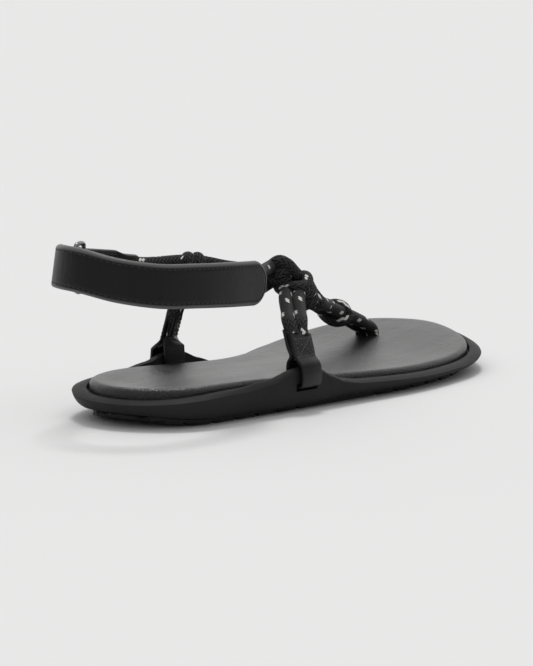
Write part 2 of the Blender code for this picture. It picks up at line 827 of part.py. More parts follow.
def build_tab():
    start, level, slope = tab_line()
    inward = Vector((level.y, -level.x, 0.0))
    if inward.y > 0:
        inward = -inward
    rings = []
    steps = 18
    for step in range(steps + 1):
        run = TAB_LENGTH * step / steps
        centre = start + level * run + Vector((0, 0, slope * run))
        swell = 1.0 - ease(run, 0.0, 3.0 * eye_thickness())
        wide = mix(TAB_THICKNESS / 2, eye_thickness(), swell)
        sleeve = ease(run, TAB_OVERLAP, TAB_OVERLAP + 0.1 * TAB_LENGTH)
        half = mix(TAB_HEIGHT, TAB_SLEEVE_HEIGHT, sleeve) / 2
        hold = ROPE_DIAMETER / 2 + CLEARANCE + SLEEVE_WALL
        thick = mix(wide, hold, sleeve)
        rings.append(band_ring(centre, inward, half, thick, thick, 0.0))
    return add_mesh("fastening_tab", skin(rings), "leather")


def tab_socket():
    start, level, slope = tab_line()
    mouth = start + level * TAB_LENGTH + Vector((0, 0, slope * TAB_LENGTH))
    deep = mouth - level * 0.8 * SOCKET_DEPTH - Vector((0, 0, slope * 0.8 * SOCKET_DEPTH))
    return deep, mouth


def post_ends():
    """Toe post: its foot in the insole's hole and the point where it bends over."""
    foot = Vector((POST_ALONG * INSOLE_LENGTH, POST_SIDE * BALL_WIDTH,
                   recess_floor(POST_ALONG) + 2 * CLEARANCE))
    mouth = foot.copy()
    mouth.z = insole_top(POST_ALONG) + 0.2 * ROPE_DIAMETER
    return foot, mouth


def along_pair(share, lateral, rows):
    """Pair from a side loop into the main knot, side by side along the loop's width."""
    end, lean, base, forward = loop_top(share, lateral)
    points = [end + lean * CLEARANCE, end + lean * 1.5 * ROPE_DIAMETER]
    for along, side, up, roll in rows:
        points.append(Vector((along * INSOLE_LENGTH, side * BALL_WIDTH, up * INSTEP_HEIGHT)))
    line = smooth_line(points, 12)
    run = sum((b - a).length for a, b in zip(line, line[1:]))
    line = even_line(line, max(int(run / STRIDE), 4))
    return line, [forward for place in line], end.z + CLEARANCE


def wrap_ring(row):
    along, side, up, yaw, pitch, wide, tall = row
    centre = Vector((along * INSOLE_LENGTH, side * BALL_WIDTH, up * INSTEP_HEIGHT))
    yaw = math.radians(yaw)
    pitch = math.radians(pitch)
    axis = Vector((math.cos(yaw) * math.cos(pitch), math.sin(yaw) * math.cos(pitch),
                   -math.sin(pitch)))
    level = Vector((0, 0, 1)).cross(axis).normalized()
    rise = axis.cross(level)
    points = []
    for step in range(16):
        angle = math.tau * step / 16
        points.append(centre + level * (wide * ROPE_DIAMETER * math.cos(angle))
                      + rise * (tall * ROPE_DIAMETER * math.sin(angle)))
    return points, [axis for place in points]


def knot_core(name, points, axis):
    """Solid middle of a knot, under the strands that wrap it."""
    centre = sum(points, Vector()) / len(points)
    mesh_data = bmesh.new()
    bmesh.ops.create_icosphere(mesh_data, subdivisions=2, radius=1.0)
    wide = points[0] - centre
    tall = points[len(points) // 4] - centre
    for vertex in mesh_data.verts:
        place = vertex.co.copy()
        vertex.co = centre + wide * place.x + tall * place.y + axis * place.z * WRAP_DIAMETER
    return add_mesh(name, mesh_data, "rope", cutter=True)


def build_rope():
    deep, mouth = strap_socket()
    foot, bend = post_ends()
    tab_deep, tab_mouth = tab_socket()
    toe = pair_route([(deep, 90.0), (mouth, 90.0)], TOE_ROUTE, [(bend, 0.0), (foot, 0.0)])
    ankle = pair_route([(tab_deep, 90.0), (tab_mouth, 90.0)], ANKLE_ROUTE, [])
    lateral = along_pair(LATERAL_WING_AT, True, LATERAL_ROUTE)
    medial = along_pair(MEDIAL_WING_AT, False, MEDIAL_ROUTE)
    profile = pair_profile(ROPE_DIAMETER, PAIR_SPACING)
    rope = add_mesh("rope_upper", sweep(*toe, profile), "rope")
    others = [("ankle_cords", (*ankle, None)), ("lateral_cords", lateral), ("medial_cords", medial)]
    for name, (points, sides, foot) in others:
        piece = add_mesh(name, sweep(points, sides, profile, foot=foot), "rope", cutter=True)
        cut(rope, piece, 'UNION')
    thin = pair_profile(WRAP_DIAMETER, WRAP_SPACING)
    for number, row in enumerate(WRAPS):
        points, sides = wrap_ring(row)
        piece = add_mesh("wrap_%d" % number, sweep(points, sides, thin, closed=True), "rope",
                         cutter=True)
        cut(rope, piece, 'UNION')
        cut(rope, knot_core("knot_core_%d" % number, points, sides[0]), 'UNION')
    return rope, toe, ankle


def socket_cutter(name, route, count_points, at_start=True):
    """Cutter around the first part of a cord pair, larger by the clearance."""
    points, sides = route
    points = points[:count_points] if at_start else points[-count_points:]
    sides = sides[:count_points] if at_start else sides[-count_points:]
    if at_start:
        extended = [points[0] + (points[0] - points[1]).normalized() * CLEARANCE] + points[1:]
    else:
        extended = points[:-1] + [points[-1] + (points[-1] - points[-2]).normalized() * CLEARANCE]
    profile = pair_profile(ROPE_DIAMETER, PAIR_SPACING, grow=1.4 * CLEARANCE)
    return add_mesh(name, sweep(extended, sides, profile), "metal", cutter=True)


def post(name, place, height, radius):
    mesh_data = bmesh.new()
    bmesh.ops.create_cone(mesh_data, cap_ends=True, segments=16, radius1=radius, radius2=radius,
                          depth=height)
    for vertex in mesh_data.verts:
        vertex.co = vertex.co + place
    return add_mesh(name, mesh_data, "metal", cutter=True)


def main():
    clear_scene()
    outsole = build_outsole()
    midsole = build_midsole()
    insole = build_insole()
    build_loop("lateral_loop", LATERAL_WING_AT, True)
    build_loop("medial_loop", MEDIAL_WING_AT, False)
    rope, toe, ankle = build_rope()
    strap = build_heel_strap()
    tab = build_tab()
    build_ring()
    cut(strap, socket_cutter("strap_socket", toe, 7))
    cut(tab, socket_cutter("tab_socket", ankle, 4))
    cut(insole, socket_cutter("toe_hole", toe, 3, at_start=False))
    rear, front, run = ring_axis()
    hole = RING_WIRE / 2 + CLEARANCE
    cut(strap, post("strap_eye", rear, 2 * STRAP_REAR_HEIGHT, hole))
    cut(tab, post("tab_eye", front, 2 * STRAP_REAR_HEIGHT, hole))

    bpy.context.view_layer.update()
    depsgraph = bpy.context.evaluated_depsgraph_get()
    corners = []
    for thing in bpy.data.objects:
        if not thing.hide_render:
            shape = thing.evaluated_get(depsgraph)
            corners += [vertex.co.copy() for vertex in shape.to_mesh().vertices]
            shape.to_mesh_clear()
    low = [min(corner[axis] for corner in corners) for axis in range(3)]
    high = [max(corner[axis] for corner in corners) for axis in range(3)]
    frame = bpy.data.objects.new("sandal", None)
    bpy.context.scene.collection.objects.link(frame)
    for thing in bpy.data.objects:
        if thing is not frame:
            thing.parent = frame
    frame.location = (-(low[0] + high[0]) / 2, -(low[1] + high[1]) / 2, -low[2])


main()
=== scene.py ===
import math

import bmesh
import bpy
from mathutils import Matrix, Quaternion, Vector


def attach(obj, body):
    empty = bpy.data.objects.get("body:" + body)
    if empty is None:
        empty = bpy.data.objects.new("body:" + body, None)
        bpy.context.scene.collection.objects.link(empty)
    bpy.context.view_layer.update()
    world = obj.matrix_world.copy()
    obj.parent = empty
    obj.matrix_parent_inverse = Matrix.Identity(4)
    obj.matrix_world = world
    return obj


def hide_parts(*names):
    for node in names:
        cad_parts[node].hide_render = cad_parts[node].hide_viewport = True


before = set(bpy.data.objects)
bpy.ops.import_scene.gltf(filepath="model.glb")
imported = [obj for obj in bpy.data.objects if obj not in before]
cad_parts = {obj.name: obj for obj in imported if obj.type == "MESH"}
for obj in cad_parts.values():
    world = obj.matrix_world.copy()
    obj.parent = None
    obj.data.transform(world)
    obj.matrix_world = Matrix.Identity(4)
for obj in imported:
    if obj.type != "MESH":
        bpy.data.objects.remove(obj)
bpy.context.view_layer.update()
scene = bpy.context.scene
print("frame loaded")

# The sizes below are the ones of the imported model, whose heel-centred plan is moved by this much
planShift = Vector((-0.11915, 0.002404, 0.0))

sole = {
    "insoleLength": 0.262, "ballWidth": 0.0975, "rimWidth": 0.0072, "toeRimWidth": 0.0052,
    "treadThickness": 0.0022, "heelStack": 0.0163, "ballStack": 0.0101, "toeStack": 0.0152,
    "toeSpring": 0.0060, "heelSpring": 0.0038, "insoleThickness": 0.0055, "edgeRadius": 0.0022,
    "dish": 0.0008, "rimDrop": 0.0041, "heelRimDrop": 0.0018, "rimCrest": 0.0016, "clearance": 0.0003,
    "wingRaise": 0.0078, "wingWall": 0.0045, "wingGap": 0.0007, "slotHeight": 0.0032, "notchDepth": 0.0165,
    "lateralWingAt": 0.300, "medialWingAt": 0.312, "around": 352, "postAlong": 0.837, "postSide": 0.141,
}

# lateral and medial: the neck's rise, its lean inward and ahead, and its twist in degrees
loops = {"width": 0.0122, "leather": 0.0019, "boxHeight": 0.0100, "boxThickness": 0.0050, "bulge": 0.0012,
         "seamInset": 0.0016, "pressed": 0.0023, "endDiameter": 0.0058,
         "lateral": (0.0032, 0.66, 0.34, 0.0), "medial": (0.0056, 0.28, 0.08, 30.0)}

# along, side
lateralOutline = ((0.012, 0.000), (0.027, -0.140), (0.068, -0.262), (0.152, -0.328), (0.395, -0.441),
                  (0.617, -0.526), (0.808, -0.460), (0.912, -0.262), (0.984, 0.060))
medialOutline = ((0.025, 0.140), (0.065, 0.270), (0.150, 0.340), (0.426, 0.271), (0.742, 0.474),
                 (0.880, 0.450), (0.957, 0.330))
# along, raise
lateralWing = ((0.08, 0.0), (0.16, 0.10), (0.22, 0.36), (0.275, 0.86), (0.303, 1.0), (0.330, 0.90),
               (0.360, 0.46), (0.392, 0.12), (0.430, 0.0))
medialWing = ((0.15, 0.0), (0.21, 0.14), (0.26, 0.46), (0.30, 0.90), (0.322, 1.0), (0.345, 0.90),
              (0.385, 0.48), (0.43, 0.14), (0.48, 0.0))


def ease(value, start, end):
    share = min(max((value - start) / (end - start), 0.0), 1.0)
    return share * share * (3.0 - 2.0 * share)


def mix(first, second, share):
    return first + (second - first) * share


def easedRows(rows, value):
    if value <= rows[0][0]:
        return rows[0][1]
    for (start, low), (end, high) in zip(rows, rows[1:]):
        if value <= end:
            share = (value - start) / (end - start)
            return mix(low, high, mix(share, ease(share, 0.0, 1.0), 0.5))
    return rows[-1][1]


def smoothLine(points, perSpan, closed=False):
    count = len(points)
    spans = count if closed else count - 1
    line = []
    for span in range(spans):
        p1 = points[span]
        p2 = points[(span + 1) % count]
        p0 = points[(span - 1) % count] if closed or span else p1 + (p1 - p2)
        last = closed or span + 2 < count
        p3 = points[(span + 2) % count] if last else p2 + (p2 - p1)
        d1 = math.sqrt((p1 - p0).length)
        d2 = math.sqrt((p2 - p1).length)
        d3 = math.sqrt((p3 - p2).length)
        m1 = ((p1 - p0) / d1 - (p2 - p0) / (d1 + d2) + (p2 - p1) / d2) * d2
        m2 = ((p2 - p1) / d2 - (p3 - p1) / (d2 + d3) + (p3 - p2) / d3) * d2
        for step in range(perSpan):
            t = step / perSpan
            line.append(p1 * (2 * t ** 3 - 3 * t ** 2 + 1) + m1 * (t ** 3 - 2 * t ** 2 + t)
                        + p2 * (3 * t ** 2 - 2 * t ** 3) + m2 * (t ** 3 - t ** 2))
    if not closed:
        line.append(points[-1].copy())
    return line


def evenLine(line, count):
    run = [0.0]
    for first, second in zip(line, line[1:]):
        run.append(run[-1] + (second - first).length)
    result = []
    index = 0
    for step in range(count):
        goal = run[-1] * step / (count - 1)
        while index < len(run) - 2 and run[index + 1] < goal:
            index += 1
        share = (goal - run[index]) / (run[index + 1] - run[index])
        result.append(line[index].lerp(line[index + 1], share))
    return result


def place(along, side, up=0.0):  # shares of the insole's length and the ball's width, height in metres
    return Vector((along * sole["insoleLength"], side * sole["ballWidth"], up)) + planShift


def soleOutline():
    rows = lateralOutline + tuple(reversed(medialOutline))
    points = [Vector((along * sole["insoleLength"], side * sole["ballWidth"])) for along, side in rows]
    perSpan = 48
    line = smoothLine(points, perSpan, closed=True)
    toe = perSpan * (len(lateralOutline) - 1)
    half = sole["around"] // 2 + 1
    return evenLine(line[:toe + 1], half)[:-1] + evenLine(line[toe:] + line[:1], half)[:-1]


outline = soleOutline()


def outward(index):
    run = (outline[(index + 2) % len(outline)] - outline[index - 2]).normalized()
    return Vector((run.y, -run.x))


def insoleTop(share):
    heel = (sole["heelStack"] - sole["ballStack"]) * (1.0 - ease(share, 0.10, 0.66))
    return sole["ballStack"] + heel + (sole["toeStack"] - sole["ballStack"]) * ease(share, 0.70, 1.05)


def treadBottom(share):
    toe = sole["toeSpring"] * max((share - 0.68) / 0.32, 0.0) ** 2
    return toe + sole["heelSpring"] * max((0.12 - share) / 0.12, 0.0) ** 2


def recessFloor(share):
    return insoleTop(share) - sole["insoleThickness"]


def rimWidth(share):
    return mix(sole["rimWidth"], sole["toeRimWidth"], ease(share, 0.72, 0.98))


def wingShare(share, lateral):
    return easedRows(lateralWing if lateral else medialWing, share)


def rimLip(share):
    return insoleTop(share) - sole["rimDrop"] - sole["heelRimDrop"] * (1.0 - ease(share, 0.01, 0.10))


def rimCrest(share):
    return rimLip(share) + sole["rimCrest"]


def loopAt(offsets, heights):
    ring = []
    for index, point in enumerate(outline):
        share = point.x / sole["insoleLength"]
        lateral = 0 < index < len(outline) // 2
        moved = point + outward(index) * offsets(share, lateral)
        ring.append(Vector((moved.x, moved.y, heights(share, lateral))) + planShift)
    return ring


def edgeAt(share, lateral):
    half = range(1, len(outline) // 2) if lateral else range(len(outline) - 1, len(outline) // 2, -1)
    goal = share * sole["insoleLength"]
    index = min(half, key=lambda item: abs(outline[item].x - goal))
    out = outward(index)
    side = outline[index].y + (goal - outline[index].x) * -out.x / out.y
    return Vector((goal, side, 0.0)) + planShift, Vector((out.x, out.y, 0.0))


def wingPlace(lateral):  # the wing's share of the length, its point on the outline, and two level directions
    share = sole["lateralWingAt"] if lateral else sole["medialWingAt"]
    point, out = edgeAt(share, lateral)
    return share, point, out, Vector((-out.y, out.x, 0.0))


def added(name, meshData, finish=None):  # an object made from a bmesh, which is freed
    mesh = bpy.data.meshes.new(name)
    meshData.to_mesh(mesh)
    meshData.free()
    if finish:
        mesh.materials.clear()
        mesh.materials.append(finish)
    thing = bpy.data.objects.new(name, mesh)
    scene.collection.objects.link(thing)
    return thing


def soften(mesh, angle):
    mesh.shade_smooth()
    mesh.set_sharp_from_angle(angle=math.radians(angle))


def newPiece(name, meshData, finish, smooth, replaced):
    bmesh.ops.recalc_face_normals(meshData, faces=meshData.faces)
    thing = added(name, meshData, finish)
    soften(thing.data, smooth)
    dress(thing, replaced)
    return thing


def dress(thing, replaced):
    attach(thing, "root")
    if replaced:
        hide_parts(*replaced)


def skin(rings):  # a closed form through rings of equal length, with a flat cap on each end
    meshData = bmesh.new()
    levels = [[meshData.verts.new(point) for point in ring] for ring in rings]
    for low, high in zip(levels, levels[1:]):
        for index in range(len(low)):
            after = (index + 1) % len(low)
            meshData.faces.new((low[index], low[after], high[after], high[index]))
    for ring, flip in ((levels[0], True), (levels[-1], False)):
        count = len(ring)
        half = count // 2
        rungs = [(ring[0], ring[1], ring[-1]), (ring[half - 1], ring[half], ring[half + 1])]
        for index in range(1, half - 1):
            rungs.append((ring[index], ring[index + 1], ring[count - index - 1], ring[count - index]))
        for rung in rungs:
            meshData.faces.new(tuple(reversed(rung)) if flip else rung)
    return meshData


def carve(thing, cutter):  # a cut that is applied at once
    change = thing.modifiers.new("carve", "BOOLEAN")
    change.operation = "DIFFERENCE"
    change.solver = "EXACT"
    change.object = cutter
    settle(thing, 35.0)
    bpy.data.objects.remove(cutter, do_unlink=True)


def plainMesh(thing):
    graph = bpy.context.evaluated_depsgraph_get()
    return bpy.data.meshes.new_from_object(thing.evaluated_get(graph), depsgraph=graph)


def settle(thing, smooth):  # modifiers become plain mesh
    mesh = plainMesh(thing)
    thing.modifiers.clear()
    thing.data = mesh
    soften(mesh, smooth)


def block(centre, across, along, size):
    meshData = bmesh.new()
    bmesh.ops.create_cube(meshData, size=1.0)
    for vertex in meshData.verts:
        x, y, z = vertex.co
        vertex.co = centre + across * x * size[0] + along * y * size[1] + Vector((0, 0, z * size[2]))
    meshData.normal_update()
    bmesh.ops.recalc_face_normals(meshData, faces=meshData.faces)
    return added("block", meshData)


def copyOf(node, name, finish, bevel, smooth=35.0):
    meshData = bmesh.new()
    meshData.from_mesh(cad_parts[node].data)
    bmesh.ops.remove_doubles(meshData, verts=meshData.verts, dist=0.00001)
    thing = added(name, meshData, finish)
    soften(thing.data, smooth)
    if bevel:
        change = thing.modifiers.new("edge", "BEVEL")
        change.width = bevel
        change.segments = 2
        change.limit_method = "ANGLE"
        change.angle_limit = math.radians(38.0)
        settle(thing, smooth)
    dress(thing, (node,))


class Wire:  # one output socket; sums of wires and numbers add their own Math nodes
    def __init__(self, finish, socket):
        self.finish = finish
        self.socket = socket

    def math(self, operation, *values):
        node = self.finish.tree.nodes.new("ShaderNodeMath")
        node.operation = operation
        for index, value in enumerate(values):
            self.finish.plug(node.inputs[index], value)
        return Wire(self.finish, node.outputs[0])

    def __add__(self, other): return self.math("ADD", self, other)
    def __radd__(self, other): return self.math("ADD", other, self)
    def __sub__(self, other): return self.math("SUBTRACT", self, other)
    def __rsub__(self, other): return self.math("SUBTRACT", other, self)
    def __mul__(self, other): return self.math("MULTIPLY", self, other)
    def __rmul__(self, other): return self.math("MULTIPLY", other, self)
    def __truediv__(self, other): return self.math("DIVIDE", self, other)
    def __rtruediv__(self, other): return self.math("DIVIDE", other, self)
    def __mod__(self, other): return self.math("FLOORED_MODULO", self, other)
    def __pow__(self, other): return self.math("POWER", self, other)
    def __abs__(self): return self.math("ABSOLUTE", self)
    def __lt__(self, other): return self.math("LESS_THAN", self, other)
    def __gt__(self, other): return self.math("GREATER_THAN", self, other)
    def floor(self): return self.math("FLOOR", self)
    def clamp(self): return self.math("MINIMUM", self.math("MAXIMUM", self, 0.0), 1.0)
    def smooth(self, low, high):
        return self.finish.add("MapRange", {"interpolation_type": "SMOOTHSTEP"},
                               {"Value": self, "From Min": low, "From Max": high})


class Shading:  # adds nodes to a material's or the world's tree
    def __init__(self, tree):
        self.tree = tree

    def plug(self, socket, value):
        if isinstance(value, Wire):
            self.tree.links.new(value.socket, socket)
        else:
            socket.default_value = value

    def add(self, kind, settings=None, sockets=None, out=0):
        node = self.tree.nodes.new("ShaderNode" + kind)
        for key, value in (settings or {}).items():
            if key == "stops":
                ramp = node.color_ramp
                while len(ramp.elements) < len(value):
                    ramp.elements.new(0.5)
                for element, (spot, shade) in zip(ramp.elements, value):
                    element.position = spot
                    element.color = (shade, shade, shade, 1.0)
            else:
                setattr(node, key, value)
        for key, value in (sockets or {}).items():
            self.plug(node.inputs[key], value)
        return Wire(self, node.outputs[out])


def shadeOf(value):  # a number stands for a grey
    return (value, value, value, 1.0) if isinstance(value, float) else (*value, 1.0)


class Finish(Shading):
    def __init__(self, name, color, roughness, **constants):
        self.material = bpy.data.materials.new(name)
        self.material.use_nodes = True
        super().__init__(self.material.node_tree)
        self.shader = self.tree.nodes["Principled BSDF"]
        self.shader.inputs["Base Color"].default_value = shadeOf(color)
        self.shader.inputs["Roughness"].default_value = roughness
        for key, value in constants.items():
            self.shader.inputs[key.replace("_", " ")].default_value = value

    def coords(self, scale=(1.0, 1.0, 1.0), turn=0.0):
        spot = self.add("TexCoord", out=3)
        return self.add("Mapping", None, {"Vector": spot, "Scale": scale, "Rotation": (0, 0, turn)})

    def noise(self, where, scale, detail=2.0):
        return self.add("TexNoise", None, {"Vector": where, "Scale": scale, "Detail": detail})

    def cells(self, where, scale):
        return self.add("TexVoronoi", None, {"Vector": where, "Scale": scale})

    def color(self, first, second, share):
        node = self.tree.nodes.new("ShaderNodeMix")
        node.data_type = "RGBA"
        self.plug(node.inputs[0], share)
        for index, value in ((6, first), (7, second)):
            self.plug(node.inputs[index], value if isinstance(value, Wire) else shadeOf(value))
        return Wire(self, node.outputs[2])

    def bump(self, *layers):  # each layer is a height and its depth in metres
        normal = None
        for height, depth in layers:
            sockets = {"Height": height, "Distance": depth, "Strength": 1.0}
            if normal:
                sockets["Normal"] = normal
            normal = self.add("Bump", None, sockets)
        self.plug(self.shader.inputs["Normal"], normal)

    def paint(self, name, value):
        self.plug(self.shader.inputs[name], value)


# A fleck is two ribs wide, once in so many ribs and columns of the braid, and some are left out
braid = {"carriers": 12, "cell": 0.0022, "fleckRibs": 4.0, "fleckColumns": 12.0, "fleckStep": 4.0,
         "fleckSpread": 80.0, "fleckLoss": 0.67}


def foamFinish():
    finish = Finish("foam", 0.028, 0.50, Specular_IOR_Level=0.04)
    where = finish.coords()
    cloud = finish.noise(where, 45.0, 3.0)
    pores = finish.noise(where, 1900.0, 2.0)
    finish.paint("Base Color", finish.color(0.021, 0.037, cloud))
    finish.paint("Roughness", 0.44 + 0.14 * finish.noise(where, 120.0, 4.0))
    finish.bump((pores, 0.00006), (finish.noise(where, 300.0, 2.0), 0.00008))
    return finish.material


def treadFinish():
    finish = Finish("tread", 0.012, 0.70)
    where = finish.coords()
    finish.paint("Base Color", finish.color(0.009, 0.017, finish.noise(where, 90.0, 4.0)))
    finish.paint("Roughness", 0.62 + 0.18 * finish.noise(where, 240.0, 3.0))
    finish.bump((finish.cells(where, 620.0), 0.00010))
    return finish.material


def insoleFinish():
    finish = Finish("insoleLeather", 0.030, 0.40)
    where = finish.coords()
    streaks = finish.noise(finish.coords((16.0, 260.0, 40.0), 0.06), 1.0, 3.0)
    cloud = finish.noise(where, 30.0, 3.0)
    grain = finish.cells(where, 1150.0)
    worn = (0.6 * cloud + 0.4 * streaks).clamp()
    finish.paint("Base Color", finish.color(0.010, (0.026, 0.026, 0.0255), worn))
    finish.paint("Roughness", 0.30 + 0.10 * streaks + 0.10 * cloud)
    finish.bump((grain, 0.00022), (streaks, 0.00018), (finish.noise(where, 160.0, 3.0), 0.00024))
    return finish.material


def leatherFinish(name, base, rough, shine, edge=0.0):
    finish = Finish(name, base, rough, Specular_IOR_Level=shine)
    where = finish.coords()
    # edge is grey added to the base colour on the rounded edges: a painted highlight where they catch the light
    # from above
    edgeHighlightShare = finish.add("Attribute", {"attribute_name": "rolledEdge"}, out=2)
    cloud = finish.noise(where, 60.0, 3.0)
    grain = finish.cells(where, 1500.0)
    face = finish.color(base * 0.75, base * 1.4, cloud)
    finish.paint("Base Color", finish.color(face, base + edge, edgeHighlightShare))
    finish.paint("Roughness", rough - 0.05 + 0.12 * finish.noise(where, 160.0, 4.0))
    finish.bump((grain, 0.00004), (finish.noise(where, 220.0, 3.0), 0.00010))
    return finish.material


def cordFinish():
    # the sheath attribute holds the cosine and sine round the cord, and the metres along it
    finish = Finish("braidedCord", 0.012, 0.70, Specular_IOR_Level=0.05)
    sheath = finish.add("Attribute", {"attribute_name": "sheath"}, out=1)
    spread = finish.tree.nodes.new("ShaderNodeSeparateXYZ")
    finish.plug(spread.inputs[0], sheath)
    cosine, sine, along = (Wire(finish, spread.outputs[index]) for index in range(3))
    angle = cosine.math("ARCTAN2", sine, cosine) / math.tau + 1.0
    right = angle * braid["carriers"] + along / braid["cell"]
    left = angle * braid["carriers"] - along / braid["cell"]
    column = right.floor() + left.floor()
    onTop = (column % 4.0) < 1.5

    def ribs(across):
        wide = 1.0 - abs((across % 1.0) * 2.0 - 1.0) ** 2.0
        fine = 1.0 - abs(((across * 2.0) % 1.0) * 2.0 - 1.0) ** 2.0
        return 0.68 * wide + 0.32 * fine

    rib = ribs(left) + (ribs(right) - ribs(left)) * onTop
    lane = (right.floor() / braid["fleckRibs"]).floor()
    shifted = column + braid["fleckStep"] * (lane % 3.0)
    group = finish.add("CombineXYZ", None, {"X": lane, "Y": (shifted / braid["fleckColumns"]).floor()})
    chance = finish.add("TexWhiteNoise", {"noise_dimensions": "2D"}, {"Vector": group})
    patchy = finish.noise(finish.coords(), braid["fleckSpread"], 0.0)
    white = ((right.floor() % braid["fleckRibs"]) < 1.5) * ((shifted % braid["fleckColumns"]) < 1.5)
    fleck = white * (chance * 0.5 + patchy > braid["fleckLoss"]) * (rib > 0.06)
    yarn = finish.noise(finish.coords(), 5200.0, 1.0)
    # shade is mostly painted light: a painted highlight on the braid's rib crests and painted shade in the
    # troughs between the yarns, with a little random yarn tone
    shade = finish.color((0.0008, 0.0008, 0.0009), (0.085, 0.085, 0.086),
                         (rib ** 3.0 * 0.85 + yarn * 0.12).clamp())
    finish.paint("Base Color", finish.color(shade, (0.80, 0.80, 0.78), fleck))
    finish.paint("Roughness", 0.70 - 0.20 * rib + 0.10 * fleck)
    finish.bump((rib, 0.00055), (yarn, 0.00006))
    return finish.material


def threadFinish(name, base):
    finish = Finish(name, base, 0.55)
    where = finish.coords()
    finish.paint("Base Color", finish.color(base * 0.6, base * 1.4, finish.noise(where, 900.0)))
    finish.bump((finish.noise(where, 3500.0), 0.00005))
    return finish.material


def metalFinish():
    finish = Finish("gunmetal", (0.22, 0.22, 0.23), 0.28, Metallic=1.0)
    where = finish.coords()
    finish.paint("Roughness", 0.20 + 0.12 * finish.noise(where, 400.0, 4.0))
    finish.paint("Base Color", finish.color((0.16, 0.16, 0.17), (0.28, 0.28, 0.29),
                                            finish.noise(where, 150.0, 2.0)))
    finish.bump((finish.noise(where, 1200.0, 2.0), 0.00001))
    return finish.material


foam = foamFinish()
tread = treadFinish()
insoleLeather = insoleFinish()
# the last number is the grey of the painted highlight on the strap's rounded edges
strapLeather = leatherFinish("strapLeather", 0.0085, 0.42, 0.20, 0.085)
loopLeather = leatherFinish("loopLeather", 0.0060, 0.36, 0.30)
cordCloth = cordFinish()
strapThread = threadFinish("strapThread", 0.012)
loopThread = threadFinish("loopThread", 0.045)
gunmetal = metalFinish()
print("finishes made")

# out, height, crest, lift, wing out
soleSide = ((-0.25, 0.00, 0.00, 0.00, -0.25), (0.22, 0.08, 0.00, 0.00, 0.50), (0.66, 0.38, 0.00, 0.12, 1.00),
            (0.90, 0.72, 0.00, 0.50, 1.13), (1.00, 1.00, 0.00, 0.93, 1.13))
soleShelf = ((0.985, 1.00, 0.12, 0.97, 1.12), (0.66, 1.00, 0.75, 1.00, 0.88), (0.34, 1.00, 1.00, 1.00, 0.55),
             (0.14, 1.00, 0.80, 0.97, 0.20))


def slotBlock(lateral):
    share, point, out, along = wingPlace(lateral)
    middle = recessFloor(share) + sole["clearance"] + sole["slotHeight"] / 2
    centre = point + out * (sole["wingGap"] + sole["wingWall"] / 2) + Vector((0, 0, middle))
    size = (3.0 * sole["wingWall"], loops["width"] + 4 * sole["clearance"], sole["slotHeight"])
    return block(centre, out, along, size)


def makeMidsole():
    def rowRing(row):
        out, height, crest, lift, wingOut = row

        def offset(share, lateral):
            wing = wingShare(share, lateral)
            wide = sole["wingGap"] + wingOut * sole["wingWall"]
            return mix(out * rimWidth(share), wide, min(wing * 1.6, 1.0))

        def level(share, lateral):
            low = treadBottom(share) + sole["treadThickness"] + sole["clearance"]
            lip = rimLip(share)
            raised = lift * wingShare(share, lateral) * sole["wingRaise"]
            return mix(low, lip, height) + crest * sole["rimCrest"] + raised

        return loopAt(offset, level)

    rows = [list(row) for row in smoothLine([Vector(row) for row in soleSide], 4)]
    rows += [list(row) for row in smoothLine([Vector(row) for row in soleShelf], 4)]
    rings = [rowRing(row) for row in rows]
    rings.append(loopAt(lambda share, lateral: sole["wingGap"], lambda share, lateral: recessFloor(share)))
    thing = newPiece("foamSole", skin(rings), foam, 40.0, ("midsole",))
    for lateral in (True, False):
        carve(thing, slotBlock(lateral))


# inset, share of the dish
dishRows = ((0.0034, 0.00), (0.0050, 0.08), (0.0072, 0.30), (0.0100, 0.70), (0.01365, 1.0))


def makeInsole():
    radius = sole["edgeRadius"]
    rows = [(-sole["clearance"], 0.0), (-sole["clearance"], -radius)]
    for step in range(1, 7):
        angle = math.radians(15.0 * step)
        rows.append((-sole["clearance"] - radius * (1 - math.cos(angle)), -radius * (1 - math.sin(angle))))
    for inset, sink in dishRows:
        rows.append((-inset, -sole["dish"] * sink))
    rings = []
    for number, (out, down) in enumerate(rows):
        def level(share, lateral, number=number, down=down):
            if number == 0:
                return recessFloor(share) + sole["clearance"]
            return insoleTop(share) + down
        rings.append(loopAt(lambda share, lateral, out=out: out, level))
    thing = newPiece("insoleCover", skin(rings), insoleLeather, 50.0, ("insole",))
    for lateral in (True, False):
        share, point, out, along = wingPlace(lateral)
        size = (2 * (loops["leather"] + 3 * sole["clearance"]), loops["width"] + 4 * sole["clearance"],
                sole["notchDepth"])
        carve(thing, block(point + out * sole["wingGap"] + Vector((0, 0, insoleTop(share))), out, along, size))


makeMidsole()
makeInsole()
copyOf("outsole", "treadRubber", tread, 0.0)
print("sole made")

# Cord sheath: a tube over each line, with its place round and along kept for the braid
cord = {"diameter": 0.0060, "spacing": 0.0058, "instep": 0.0600, "wrapDiameter": 0.0054,
        "sides": 20, "stride": 0.0008}


def treeWith(name, *sizes):
    tree = bpy.data.node_groups.new(name, "GeometryNodeTree")
    tree.interface.new_socket("Geometry", in_out="INPUT", socket_type="NodeSocketGeometry")
    for label, kind in sizes:
        tree.interface.new_socket(label, in_out="INPUT", socket_type="NodeSocket" + kind)
    tree.interface.new_socket("Geometry", in_out="OUTPUT", socket_type="NodeSocketGeometry")
    return tree, tree.nodes.new("NodeGroupInput"), tree.nodes.new("NodeGroupOutput")


def nodeIn(tree, kind, settings=None, sockets=None):
    node = tree.nodes.new(kind)
    for key, value in (settings or {}).items():
        setattr(node, key, value)
    for key, value in (sockets or {}).items():
        if isinstance(value, bpy.types.NodeSocket):
            tree.links.new(value, node.inputs[key])
        else:
            node.inputs[key].default_value = value
    return node


